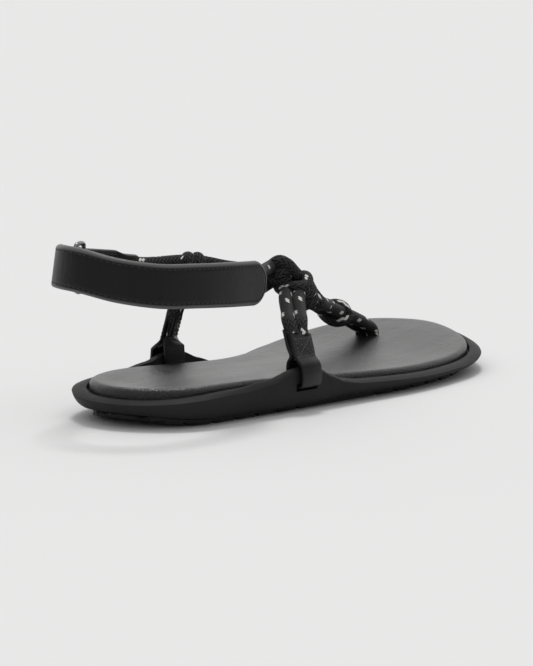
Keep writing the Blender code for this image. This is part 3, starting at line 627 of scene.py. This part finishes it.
def sheathTree():
    tree, start, end = treeWith("cordSheath", ("Diameter", "Float"), ("Stride", "Float"), ("Sides", "Int"),
                                ("Finish", "Material"))
    even = nodeIn(tree, "GeometryNodeResampleCurve", {"mode": "LENGTH"},
                  {"Curve": start.outputs["Geometry"], "Length": start.outputs["Stride"]})
    along = nodeIn(tree, "GeometryNodeSplineParameter")
    keepAlong = nodeIn(tree, "GeometryNodeCaptureAttribute", {"domain": "POINT"})
    keepAlong.capture_items.new("FLOAT", "along")
    tree.links.new(even.outputs["Curve"], keepAlong.inputs["Geometry"])
    tree.links.new(along.outputs["Length"], keepAlong.inputs["along"])
    half = nodeIn(tree, "ShaderNodeMath", {"operation": "MULTIPLY"}, {0: start.outputs["Diameter"], 1: 0.5})
    circle = nodeIn(tree, "GeometryNodeCurvePrimitiveCircle", {"mode": "RADIUS"},
                    {"Resolution": start.outputs["Sides"], "Radius": half.outputs[0]})
    spot = nodeIn(tree, "GeometryNodeInputPosition")
    unit = nodeIn(tree, "ShaderNodeVectorMath", {"operation": "NORMALIZE"}, {0: spot.outputs[0]})
    keepRound = nodeIn(tree, "GeometryNodeCaptureAttribute", {"domain": "POINT"})
    keepRound.capture_items.new("VECTOR", "round")
    tree.links.new(circle.outputs["Curve"], keepRound.inputs["Geometry"])
    tree.links.new(unit.outputs[0], keepRound.inputs["round"])
    tube = nodeIn(tree, "GeometryNodeCurveToMesh", None,
                  {"Curve": keepAlong.outputs["Geometry"], "Profile Curve": keepRound.outputs["Geometry"],
                   "Fill Caps": True})
    parts = nodeIn(tree, "ShaderNodeSeparateXYZ", None, {0: keepRound.outputs["round"]})
    joined = nodeIn(tree, "ShaderNodeCombineXYZ", None, {0: parts.outputs[0], 1: parts.outputs[1],
                                                         2: keepAlong.outputs["along"]})
    store = nodeIn(tree, "GeometryNodeStoreNamedAttribute", {"data_type": "FLOAT_VECTOR", "domain": "POINT"},
                   {"Geometry": tube.outputs["Mesh"], "Name": "sheath", "Value": joined.outputs[0]})
    real = nodeIn(tree, "GeometryNodeRealizeInstances", None, {"Geometry": store.outputs["Geometry"]})
    dressNode = nodeIn(tree, "GeometryNodeSetMaterial", None,
                       {"Geometry": real.outputs["Geometry"], "Material": start.outputs["Finish"]})
    tree.links.new(dressNode.outputs["Geometry"], end.inputs["Geometry"])
    return tree


def stitchTree():
    tree, start, end = treeWith("stitchRow", ("Pitch", "Float"), ("Length", "Float"), ("Thickness", "Float"),
                                ("Finish", "Material"))
    points = nodeIn(tree, "GeometryNodeCurveToPoints", {"mode": "LENGTH"},
                    {"Curve": start.outputs["Geometry"], "Length": start.outputs["Pitch"]})
    bead = nodeIn(tree, "GeometryNodeMeshUVSphere", None, {"Segments": 8, "Rings": 6, "Radius": 0.5})
    size = nodeIn(tree, "ShaderNodeCombineXYZ", None, {0: start.outputs["Thickness"],
                                                       1: start.outputs["Thickness"],
                                                       2: start.outputs["Length"]})
    place = nodeIn(tree, "GeometryNodeInstanceOnPoints", None,
                   {"Points": points.outputs["Points"], "Instance": bead.outputs["Mesh"],
                    "Rotation": points.outputs["Rotation"], "Scale": size.outputs[0]})
    real = nodeIn(tree, "GeometryNodeRealizeInstances", None, {"Geometry": place.outputs["Instances"]})
    smooth = nodeIn(tree, "GeometryNodeSetShadeSmooth", None, {"Geometry": real.outputs["Geometry"]})
    dressNode = nodeIn(tree, "GeometryNodeSetMaterial", None,
                       {"Geometry": smooth.outputs[0], "Material": start.outputs["Finish"]})
    tree.links.new(dressNode.outputs["Geometry"], end.inputs["Geometry"])
    return tree


def grown(name, tree, lines, values, replaced=()):  # a mesh that the node tree grows on each line
    curve = bpy.data.curves.new(name, "CURVE")
    curve.dimensions = "3D"
    curve.twist_mode = "MINIMUM"
    for line in lines:
        spline = curve.splines.new("POLY")
        spline.points.add(len(line) - 1)
        for point, spot in zip(spline.points, line):
            point.co = (*spot, 1.0)
    thing = bpy.data.objects.new(name, curve)
    scene.collection.objects.link(thing)
    change = thing.modifiers.new("grow", "NODES")
    change.node_group = tree
    for item in tree.interface.items_tree:
        if item.in_out == "INPUT" and item.name in values:
            change[item.identifier] = values[item.name]
    mesh = plainMesh(thing)
    mesh.name = name
    bpy.data.objects.remove(thing, do_unlink=True)
    made = bpy.data.objects.new(name, mesh)
    scene.collection.objects.link(made)
    dress(made, replaced)
    return made


sheath = sheathTree()
stitches = stitchTree()

# along, side, up (shares of the insole's length, the ball's width and the instep's height), roll in degrees
toeRoute = ((0.572, -0.033, 0.596, 0.0), (0.636, 0.021, 0.507, 0.0), (0.694, 0.060, 0.441, 0.0),
            (0.759, 0.101, 0.357, 0.0), (0.808, 0.134, 0.287, 0.0))
ankleRoute = ((0.225, 0.272, 0.962, 85.0), (0.325, 0.205, 0.945, 75.0), (0.375, 0.125, 0.895, 60.0),
              (0.425, 0.015, 0.860, 30.0), (0.458, -0.080, 0.820, 0.0))
medialRoute = ((0.335, 0.262, 0.760), (0.372, 0.165, 0.840), (0.415, 0.060, 0.850), (0.455, -0.060, 0.810))
# wide, tall, tucked: shares of the cord's diameter; tuck is the share of the coil that each end takes
ankleCoil = {"middle": (0.325, 0.205, 0.945), "yaw": -42.0, "pitch": 4.0, "wide": 0.72, "tall": 0.74,
             "turns": 2.3, "start": -2.0, "steps": 110, "tucked": 0.25, "tuck": 0.12, "spread": 1.75}
# Knots: millimetres to the right, up and away from the middle, seen square to the photo's view
mainKnot = {"middle": (0.1205, -0.0107, 0.0480), "turn": 56.17}
upperStrand = ((-10.6, 8.1, -1.0), (-7.4, 10.2, -2.0), (-4.2, 8.9, -2.0), (-2.0, 6.7, -1.0), (-0.2, 3.6, 1.0),
               (1.0, -0.1, 4.0), (3.1, -4.4, 5.0), (6.1, -7.6, 2.5))
lowerStrand = ((-13.9, -0.6, -1.0), (-10.4, 2.0, -2.0), (-7.0, 5.0, -3.0), (-4.6, 5.9, -1.0), (-2.2, 4.5, 3.0),
               (0.2, 2.4, 6.0), (3.1, 1.6, 6.0), (5.1, -0.4, 3.0), (6.7, -3.4, 1.0), (9.4, -6.9, 0.0))
lateralReach = ((-1.1, -9.0, -34.0), (-1.8, -5.8, -22.0), (-1.8, -3.9, -10.0), (-1.5, -3.0, -1.0))
knotStrands = (
    ((-5.0, 1.6, 6.0), (-7.4, -0.5, 1.0), (-6.6, -1.8, -3.0), (-3.0, -1.1, -6.0), (0.6, -0.4, -7.0),
     (3.7, -0.5, -5.0), (5.1, 1.0, -1.0), (4.3, 2.7, 4.0), (1.0, 2.1, 8.0)),
    ((-1.0, -6.1, 3.0), (2.3, -5.3, -4.0), (5.1, -4.1, -5.0), (6.7, -2.5, -2.0), (5.1, -1.4, 4.0)),
    ((0.0, -9.2, 3.0), (2.7, -9.0, -2.0), (5.3, -8.3, -4.0), (7.3, -6.5, -3.0), (7.5, -4.9, 0.0)),
    ((-6.0, 4.0, 2.0), (-5.0, 6.0, 5.5), (-1.5, 5.0, 9.0), (2.0, 1.0, 10.0), (4.5, -3.5, 8.0),
     (5.0, -6.5, 4.0)),
    ((-6.5, 0.5, 3.0), (-4.5, 0.0, 8.0), (-0.5, -2.5, 10.5), (2.0, -6.0, 8.0), (3.0, -7.5, 3.0)),
)
toeKnot = {"middle": (0.18158, 0.00585, 0.0260), "turn": 56.17}
toeStrands = (
    ((-6.8, -0.6, 1.0), (-5.4, 3.2, -2.5), (-2.0, 5.2, -4.5), (1.6, 4.1, -5.5), (3.8, 0.9, -4.5),
     (3.2, -2.2, 0.0)),
    ((-7.5, 1.0, 0.0), (-5.2, -0.8, -5.0), (-1.9, -2.1, -7.5), (1.5, -1.9, -7.5), (4.0, -0.6, -4.5),
     (3.4, 1.5, 0.0)),
    ((-2.8, -1.6, 5.0), (-2.5, 1.9, 5.0), (0.3, 3.9, 3.0), (3.1, 1.9, 3.0), (3.3, -1.8, 5.0)),
)

strap = {"ankle": 0.0640, "frontHeight": 0.0190, "rearHeight": 0.0180, "thickness": 0.0036,
         "flare": 0.0012, "sleeveWall": 0.0014, "socketDepth": 0.0120, "wire": 0.0021, "ringGap": 0.0026,
         "seamInset": 0.0022, "seamDepth": 0.00028, "seamHalf": 0.0004, "stitchPitch": 0.0026,
         # the first pair below gives the insets over which the painted edge highlight fades to the face's
         # colour
         "rolledEdge": (0.0010, 0.0017), "sleeveTip": (-0.0095, -0.0030), "sleeveHalf": (0.0062, 0.0092),
         "swell": 0.09, "stops": 46, "spans": 150, "bend": 30}
strapInsets = (0.0055, 0.0075, 0.0088)  # rows of the flat face, inward of the seam
tab = {"height": 0.0164, "thickness": 0.0044, "length": 0.0310, "seamInset": 0.0020, "seamFrom": 0.0085,
       "seamTo": 0.0190, "edge": 0.0003}
# along, side, up, front
strapLine = ((0.1870, -0.369, 0.903, 1.0), (0.1150, -0.374, 0.925, 0.8), (0.0400, -0.352, 0.948, 0.4),
             (-0.030, -0.290, 0.970, 0.2), (-0.073, -0.155, 1.013, 0.1), (-0.084, -0.010, 1.058, 0.0),
             (-0.070, 0.125, 1.066, 0.0), (-0.034, 0.228, 1.050, 0.0), (0.012, 0.285, 1.014, 0.0),
             (0.061, 0.312, 0.986, 0.0))


def strapStops():
    stops = []
    for along, side, up, front in strapLine:
        spot = place(along, side, up * strap["ankle"])
        stops.append(Vector((*spot, front * strap["frontHeight"])))
    return evenLine(smoothLine(stops, 8), strap["stops"])


strapCourse = strapStops()
lastStop = len(strapCourse) - 1
strapRun = [0.0]
for first, second in zip(strapCourse, strapCourse[1:]):
    strapRun.append(strapRun[-1] + (second.to_3d() - first.to_3d()).length)


def runOf(index):
    step = strapCourse[min(index + 1, lastStop)] - strapCourse[max(index - 1, 0)]
    return Vector((step.x, step.y, 0.0)).normalized()


def strapAt(distance):  # middle, level direction and share of the front height at a distance from the tip
    if distance <= 0.0:
        run = runOf(0)
        return strapCourse[0].to_3d() + run * distance, run, 1.0
    if distance >= strapRun[-1]:
        run = runOf(lastStop)
        return strapCourse[-1].to_3d() + run * (distance - strapRun[-1]), run, 0.0
    index = max(stop for stop in range(lastStop) if strapRun[stop] <= distance)
    share = (distance - strapRun[index]) / (strapRun[index + 1] - strapRun[index])
    spot = strapCourse[index].lerp(strapCourse[index + 1], share)
    run = runOf(index).lerp(runOf(index + 1), share).normalized()
    return spot.to_3d(), run, spot.w / strap["frontHeight"]


eyeThickness = strap["wire"] / 2 + sole["clearance"] + strap["sleeveWall"]
socketThickness = cord["diameter"] + 2 * sole["clearance"] + 2 * strap["sleeveWall"] - strap["thickness"] / 2


def strapHalf(distance):
    front = strapAt(distance)[2]
    return mix(strap["rearHeight"], strap["frontHeight"], front) / 2


def strapPoint(distance, height, side):  # side is -1 on the outer face, 1 on the inner one
    middle, run, front = strapAt(distance)
    inward = Vector((run.y, -run.x, 0.0))
    half = mix(strap["rearHeight"], strap["frontHeight"], front) / 2
    left = (strapRun[-1] - distance) / strapRun[-1]
    lean = strap["flare"] * (1.0 - front) * ease(left, 0.0, 0.2)
    return middle + inward * (side + lean * height / half) + Vector((0, 0, height))


def faceDepth(distance, height, inner):
    flatHalf = strap["thickness"] / 2
    left = (strapRun[-1] - distance) / strapRun[-1]
    swell = 1.0 - ease(left, 0.0, strap["swell"])
    depth = flatHalf
    if inner:
        sleeve = 1.0 - ease(distance, strap["socketDepth"], 2.0 * strap["socketDepth"])
        sleeve *= ease(distance, *strap["sleeveTip"])
        bulge = 1.0 - ease(abs(height), *strap["sleeveHalf"])
        depth = mix(flatHalf, socketThickness, sleeve * bulge)
    return mix(depth, eyeThickness, swell)


def strapOutline(inset):
    spans, bend = strap["spans"], strap["bend"]
    far = strapRun[-1] - min(inset, 0.0030)
    rows = []
    for step in range(spans):
        distance = far * (1.0 - step / spans)
        rows.append((distance, strapHalf(distance) - inset))
    radius = strap["frontHeight"] / 2 - inset
    for step in range(2 * bend + 1):
        angle = math.pi * step / (2 * bend)
        rows.append((-radius * math.sin(angle), radius * math.cos(angle)))
    for step in range(spans):
        distance = far * (step + 1) / spans
        rows.append((distance, -strapHalf(distance) + inset))
    return rows


def makeStrap():
    half = strap["thickness"] / 2
    seam = strap["seamInset"]
    edge = []
    for step in range(7):
        angle = math.radians(90.0 * step / 6)
        edge.append((half * (1 - math.cos(angle)) * 0.95, math.sin(angle)))
    groove = strap["seamHalf"]
    outer = edge + [(seam - groove, 1.0), (seam, 1.0 - strap["seamDepth"] / half)]
    outer += [(inset, 1.0) for inset in (seam + groove, seam + 3 * groove) + strapInsets]
    inner = edge + [(inset, 1.0) for inset in sorted((seam, seam + 3 * groove, 0.0045, 0.0065) + strapInsets)]
    rows = [(inset, share, False) for inset, share in reversed(outer)]
    rows += [(inset, share, True) for inset, share in inner[1:]]
    rings = []
    for inset, share, isInner in rows:
        ring = []
        for distance, height in strapOutline(inset):
            depth = faceDepth(distance, height, isInner) * share
            ring.append(strapPoint(distance, height, depth if isInner else -depth))
        rings.append(ring)
    made = newPiece("heelStrapLeather", skin(rings), strapLeather, 60.0,
                    ("heel_strap",))
    # each vertex holds its share of the painted highlight on the rounded edges, by its inset
    edgeHighlightWeights = made.data.attributes.new("rolledEdge", "FLOAT", "POINT")
    count = len(rings[0])
    for number, (inset, share, isInner) in enumerate(rows):
        for index in range(number * count, (number + 1) * count):
            edgeHighlightWeights.data[index].value = 1.0 - ease(inset, *strap["rolledEdge"])


def seamLine(inner):
    line = []
    for distance, height in strapOutline(strap["seamInset"]):
        depth = faceDepth(distance, height, inner)
        depth -= strap["seamDepth"] * 0.6 if not inner else 0.0
        line.append(strapPoint(distance, height, depth if inner else -depth))
    return line


makeStrap()
grown("heelStrapStitches", stitches, [seamLine(False), seamLine(True)],
      {"Pitch": strap["stitchPitch"], "Length": 0.0019, "Thickness": 0.00050, "Finish": strapThread})
print("strap made")


def tabCourse():
    run = runOf(lastStop)
    along, side, up, roll = ankleRoute[0]
    target = place(along, side, up * cord["instep"])
    start = strapCourse[-1].to_3d() + run * strap["ringGap"]
    start.z = strapCourse[-1].z
    level = Vector((target.x - start.x, target.y - start.y, 0.0))
    slope = (target.z - start.z) / level.length
    return start, level.normalized(), slope


def tabSocket():
    start, level, slope = tabCourse()
    mouth = start + level * tab["length"] + Vector((0, 0, slope * tab["length"]))
    return mouth - (level + Vector((0, 0, slope))) * 0.8 * strap["socketDepth"], mouth


def strapSocket():
    tip = strapCourse[0].to_3d()
    run = runOf(0)
    inset = cord["diameter"] / 2 + sole["clearance"] + strap["sleeveWall"] - strap["thickness"] / 2
    mouth = tip + Vector((run.y, -run.x, 0.0)) * inset
    deep = mouth + run * strap["socketDepth"]
    deep.z = mouth.z + (strapCourse[6].z - tip.z) * strap["socketDepth"] / (strapCourse[6].to_3d() - tip).length
    return deep, mouth


def postEnds():
    foot = place(sole["postAlong"], sole["postSide"], recessFloor(sole["postAlong"]) + 2 * sole["clearance"])
    bend = foot.copy()
    bend.z = insoleTop(sole["postAlong"]) + 0.2 * cord["diameter"]
    return foot, bend


def rolledSides(points, rolls):
    sides = []
    level = Vector((0, 1, 0))
    for index in range(len(points)):
        run = (points[min(index + 1, len(points) - 1)] - points[max(index - 1, 0)]).normalized()
        across = Vector((0, 0, 1)).cross(run)
        if across.length > 0.35:
            level = across.normalized()
        rise = run.cross(level).normalized()
        angle = math.radians(rolls[index])
        sides.append(level * math.cos(angle) + rise * math.sin(angle))
    return sides


def pairRoute(start, rows, finish):
    stops = [Vector((*spot, roll / 1000.0)) for spot, roll in start]
    stops += [Vector((*place(along, side, up * cord["instep"]), roll / 1000.0))
              for along, side, up, roll in rows]
    stops += [Vector((*spot, roll / 1000.0)) for spot, roll in finish]
    line = smoothLine(stops, 12)
    line = evenLine(line, 90)
    points = [spot.to_3d() for spot in line]
    return points, rolledSides(points, [spot.w * 1000.0 for spot in line])


def twins(points, sides, spacing):
    strands = ([], [])
    for index, point in enumerate(points):
        run = points[min(index + 1, len(points) - 1)] - points[max(index - 1, 0)]
        run.normalize()
        side = sides[index] - run * sides[index].dot(run)
        side.normalize()
        strands[0].append(point + side * spacing / 2)
        strands[1].append(point - side * spacing / 2)
    return strands


def loopTop(lateral):
    share, point, out, along = wingPlace(lateral)
    neckRise, inward, ahead, twist = loops["lateral" if lateral else "medial"]
    forward = along if along.x > 0 else -along
    neck = rimCrest(share) + sole["wingRaise"] + neckRise
    lean = -out * inward + forward * ahead + Vector((0, 0, 1.0))
    base = point + out * (sole["wingGap"] + sole["wingWall"] / 2) + Vector((0, 0, neck))
    turned = forward.copy()
    turned.rotate(Quaternion((0, 0, 1), math.radians(twist)))
    return base + lean * loops["boxHeight"], lean.normalized(), base, turned


def alongPair(lateral, stops):
    end, lean, base, forward = loopTop(lateral)
    points = [end - lean * 0.002, end + lean * 0.6 * cord["diameter"]] + stops
    line = evenLine(smoothLine(points, 12), 60)
    return line, [forward for spot in line]


def wrapCoil(coil):  # a little over two turns, whose ends go into the knot's middle
    along, side, up = coil["middle"]
    centre = place(along, side, up * cord["instep"])
    yaw = math.radians(coil["yaw"])
    pitch = math.radians(coil["pitch"])
    axis = Vector((math.cos(yaw) * math.cos(pitch), math.sin(yaw) * math.cos(pitch), -math.sin(pitch)))
    level = Vector((0, 0, 1)).cross(axis).normalized()
    rise = axis.cross(level)
    line = []
    for step in range(coil["steps"] + 1):
        share = step / coil["steps"]
        angle = math.tau * coil["turns"] * share + coil["start"]
        out = min(ease(share, 0.0, coil["tuck"]), ease(1.0 - share, 0.0, coil["tuck"]))
        radius = cord["diameter"] * mix(coil["tucked"], 1.0, out)
        drift = (share - 0.5) * coil["spread"] * cord["wrapDiameter"]
        line.append(centre + level * (coil["wide"] * radius * math.cos(angle))
                    + rise * (coil["tall"] * radius * math.sin(angle)) + axis * drift)
    return line


def knotSpot(knot, row):
    turn = math.radians(knot["turn"])
    right = Vector((math.cos(turn), -math.sin(turn), 0.0))
    away = Vector((math.sin(turn), math.cos(turn), 0.0))
    return (Vector(knot["middle"]) + planShift + right * row[0] / 1000 + away * row[2] / 1000
            + Vector((0, 0, row[1] / 1000)))


def makeCords():
    foot, bend = postEnds()
    deep, mouth = strapSocket()
    tabDeep, tabMouth = tabSocket()
    tail = twins(*pairRoute([], toeRoute, [(bend, 0.0), (foot, 0.0)]), cord["spacing"])
    strands = []
    for rows, lift, strand in ((upperStrand, 1, tail[0]), (lowerStrand, -1, tail[1])):
        shift = Vector((0, 0, lift * cord["spacing"] / 2))
        spots = [deep + shift, mouth + shift] + [knotSpot(mainKnot, row) for row in rows]
        strands.append(smoothLine(spots + strand[9:-4:8] + strand[-3:], 10))  # a few of the tail's points
    ankle = pairRoute([(tabDeep, 90.0), (tabMouth, 90.0)], ankleRoute, [])
    medialStops = [place(along, side, up * cord["instep"]) for along, side, up in medialRoute]
    lateralStops = [knotSpot(mainKnot, row) for row in lateralReach]
    for points, sides in (ankle, alongPair(True, lateralStops), alongPair(False, medialStops)):
        first, second = twins(points, sides, cord["spacing"])
        strands += [first, second[::-1]]
    values ={"Diameter": cord["diameter"], "Stride": cord["stride"], "Sides": cord["sides"],
              "Finish": cordCloth}
    grown("ropeCords", sheath, strands, values, ("rope_upper",))
    knots = [smoothLine([knotSpot(mainKnot, row) for row in rows], 10) for rows in knotStrands]
    knots += [smoothLine([knotSpot(toeKnot, row) for row in rows], 10) for rows in toeStrands]
    values["Diameter"] = cord["wrapDiameter"]
    grown("ropeKnots", sheath, knots + [wrapCoil(ankleCoil)], values)


def ribbon(stops, acrosses, wide, thick):  # a strip whose middle surface runs through the stops
    radius = min(0.4 * thick, 0.0006)
    corner = [(math.cos(math.radians(30.0 * step)), math.sin(math.radians(30.0 * step))) for step in range(4)]
    shape = []
    for signX, signY in ((1, 1), (-1, 1), (-1, -1), (1, -1)):
        part = [(signX * (wide / 2 - radius + radius * c), signY * (thick / 2 - radius + radius * t))
                for c, t in corner]
        shape += part if signX * signY > 0 else part[::-1]
    rings = []
    for index, stop in enumerate(stops):
        run = (stops[min(index + 1, len(stops) - 1)] - stops[max(index - 1, 0)]).normalized()
        across = acrosses[index] - run * acrosses[index].dot(run)
        across.normalize()
        normal = run.cross(across)
        rings.append([stop + across * x + normal * y for x, y in shape])
    return skin(rings)


def stitchedBox(corners, crossed=False):
    sides = ((0, 1), (1, 2), (2, 3), (3, 0)) + (((0, 2), (1, 3)) if crossed else ())
    return [[corners[first].lerp(corners[second], step / 4) for step in range(5)] for first, second in sides]


def makeLoop(lateral):
    label = "lateral" if lateral else "medial"
    share, point, out, along = wingPlace(lateral)
    forward = along if along.x > 0 else -along
    end, lean, base, turned = loopTop(lateral)
    across = Vector((turned.y, -turned.x, 0.0))
    across = across if across.dot(out) > 0 else -across
    half = loops["leather"] / 2
    reach = half + sole["clearance"]
    low = recessFloor(share) + sole["clearance"] + sole["slotHeight"] - reach
    high = rimCrest(share) + sole["wingRaise"]
    neck = base.z - high
    near = sole["wingGap"] - reach
    far = sole["wingGap"] + 1.13 * sole["wingWall"] + reach
    bulge = loops["bulge"]
    # out, up
    rows = ((far + 0.35 * bulge, high + 0.2 * neck), (far + 0.8 * bulge, high - 0.5 * neck),
            (far + bulge, (low + high) / 2), (far + 0.6 * bulge, low + 0.8 * reach), (far - 0.6 * reach, low),
            (0.5 * (near + far), low), (near + 0.8 * reach, low), (near, low + 1.2 * reach),
            (near, (low + high) / 2), (near, high - 0.3 * neck), (near + 0.0003, high + 0.45 * neck))
    ply = across * (loops["boxThickness"] / 2 - 0.42 * loops["leather"])
    stops = [end + ply, (end + base) / 2 + ply * 1.04, base + ply + lean * 0.0006]
    stops += [Vector((point.x, point.y, up)) + out * reachOut for reachOut, up in rows]
    stops += [base - ply + lean * 0.0006, (end + base) / 2 - ply, end - ply]
    turns = [turned] * 3 + [forward] * len(rows) + [turned] * 3
    line = smoothLine(stops, 5)
    widths = []
    for index in range(len(line)):
        spot = index / 5
        first = min(int(spot), len(turns) - 1)
        widths.append(turns[first].lerp(turns[min(first + 1, len(turns) - 1)], spot - first))
    band = ribbon(line, widths, loops["width"], loops["leather"] * 0.84)
    newPiece(label + "LoopLeather", band, loopLeather, 50.0, (label + "_loop",))
    wide = loops["width"] / 2 - loops["seamInset"]
    tall = loops["boxHeight"]
    top, bottom = 0.94 - loops["seamInset"] / tall, 0.10
    rowsOfStitches = []
    for side in (1.0, -1.0):
        face = across * side * (loops["boxThickness"] / 2 + 0.0001)
        corners = [base.lerp(end, rise) + turned * shift + face
                   for rise, shift in ((bottom, -wide), (bottom, wide), (top, wide), (top, -wide))]
        rowsOfStitches += stitchedBox(corners, crossed=True)
    grown(label + "LoopStitches", stitches, rowsOfStitches,
          {"Pitch": 0.0017, "Length": 0.0013, "Thickness": 0.00055, "Finish": loopThread})
    pressed = []
    for shift in (-0.25, 0.25):
        pressed.append([base.lerp(end, rise) + turned * shift * loops["width"] * 0.94
                        for rise in (0.04, 0.3, 0.6, 0.9, 1.05)])
    filling = grown(label + "LoopCordEnds", sheath, pressed,
                    {"Diameter": loops["endDiameter"], "Stride": cord["stride"], "Sides": cord["sides"],
                     "Finish": cordCloth})
    flatten = 1.0 - loops["pressed"] / loops["endDiameter"]
    for vertex in filling.data.vertices:
        rise = (vertex.co.z - base.z) / (end.z - base.z)
        vertex.co -= across * (vertex.co - base.lerp(end, rise)).dot(across) * flatten


def makeTab():
    copyOf("fastening_tab", "fasteningTabLeather", strapLeather, tab["edge"])
    start, level, slope = tabCourse()
    inward = Vector((level.y, -level.x, 0.0))
    wide = tab["height"] / 2 - tab["seamInset"]
    lines = []
    for side in (1.0, -1.0):
        face = inward * side * (tab["thickness"] / 2 + 0.0001)
        corners = [start + level * run + Vector((0, 0, slope * run + rise)) + face
                   for run, rise in ((tab["seamFrom"], -wide), (tab["seamTo"], -wide), (tab["seamTo"], wide),
                                     (tab["seamFrom"], wide))]
        lines += stitchedBox(corners)
    grown("fasteningTabStitches", stitches, lines,
          {"Pitch": 0.0024, "Length": 0.0018, "Thickness": 0.0005, "Finish": strapThread})


makeCords()
makeLoop(True)
makeLoop(False)
makeTab()
copyOf("ring", "ringMetal", gunmetal, 0.0, 60.0)
print("rope and loops made")

# behind is the level direction away from the camera, rise and softness are the key light's, in degrees
light = {"behind": (0.83, 0.557), "backFrom": 0.22, "topFrom": 0.25, "topTo": 0.95, "front": 0.30,
         "back": 1.28, "top": 0.92, "backdrop": 0.791, "key": 1.10, "softness": 16.0, "rise": 67.0,
         "floor": 0.742, "floorSize": 9.0}


def makeStage():
    pale = light["floor"]
    finish = Finish("paleFloor", pale, 1.0, Specular_IOR_Level=0.0)
    where = finish.coords()
    finish.paint("Base Color", finish.color(pale - 0.001, pale + 0.001, finish.noise(where, 3.0)))
    meshData = bmesh.new()
    bmesh.ops.create_grid(meshData, x_segments=1, y_segments=1, size=light["floorSize"])
    added("floor", meshData, finish.material)


def makeLight():
    world = bpy.data.worlds.new("softRoom")
    scene.world = world
    world.use_nodes = True
    tree = world.node_tree
    shine = tree.nodes["Background"]
    room = Shading(tree)
    view = room.add("TexCoord")
    parts = tree.nodes.new("ShaderNodeSeparateXYZ")
    room.plug(parts.inputs[0], view)
    across, deep, high = (Wire(room, parts.outputs[index]) for index in range(3))
    behind = (across * light["behind"][0] + deep * light["behind"][1]).smooth(light["backFrom"], 1.0)
    level = light["front"] + (light["back"] - light["front"]) * behind
    level = level + (light["top"] - level) * high.smooth(light["topFrom"], light["topTo"])
    seen = room.add("LightPath", out=0)
    level = level + (light["backdrop"] - level) * seen
    room.plug(shine.inputs["Color"], (1.0, 1.0, 0.995, 1.0))
    room.plug(shine.inputs["Strength"], level)
    data = bpy.data.lights.new("keyLight", "SUN")
    data.energy = light["key"]
    data.angle = math.radians(light["softness"])
    lamp = bpy.data.objects.new("keyLight", data)
    toward = Vector((*light["behind"], 0.0)).normalized() * math.cos(math.radians(light["rise"]))
    toward.z = math.sin(math.radians(light["rise"]))
    lamp.rotation_euler = toward.to_track_quat("Z", "Y").to_euler()
    scene.collection.objects.link(lamp)


def makeCamera():
    view = {"turn": 56.16745, "down": 8.30434, "lens": 170.63, "distance": 1.4,
            "target": (0.113056, 0.0, 0.0260244)}
    turn = math.radians(view["turn"])
    down = math.radians(view["down"])
    ahead = Vector((math.sin(turn) * math.cos(down), math.cos(turn) * math.cos(down), -math.sin(down)))
    right = Vector((math.cos(turn), -math.sin(turn), 0.0))
    up = right.cross(ahead)
    data = bpy.data.cameras.new("photoCamera")
    data.lens = view["lens"]
    data.clip_start = 0.05
    data.clip_end = 60.0
    camera = bpy.data.objects.new("photoCamera", data)
    scene.collection.objects.link(camera)
    spot = Vector(view["target"]) + planShift - ahead * view["distance"]
    camera.matrix_world = Matrix((right, up, -ahead)).transposed().to_4x4()
    camera.matrix_world.translation = spot
    camera.location = spot
    scene.camera = camera


makeStage()
makeLight()
makeCamera()
scene.view_settings.view_transform = "Standard"
print("stage, light and camera made")
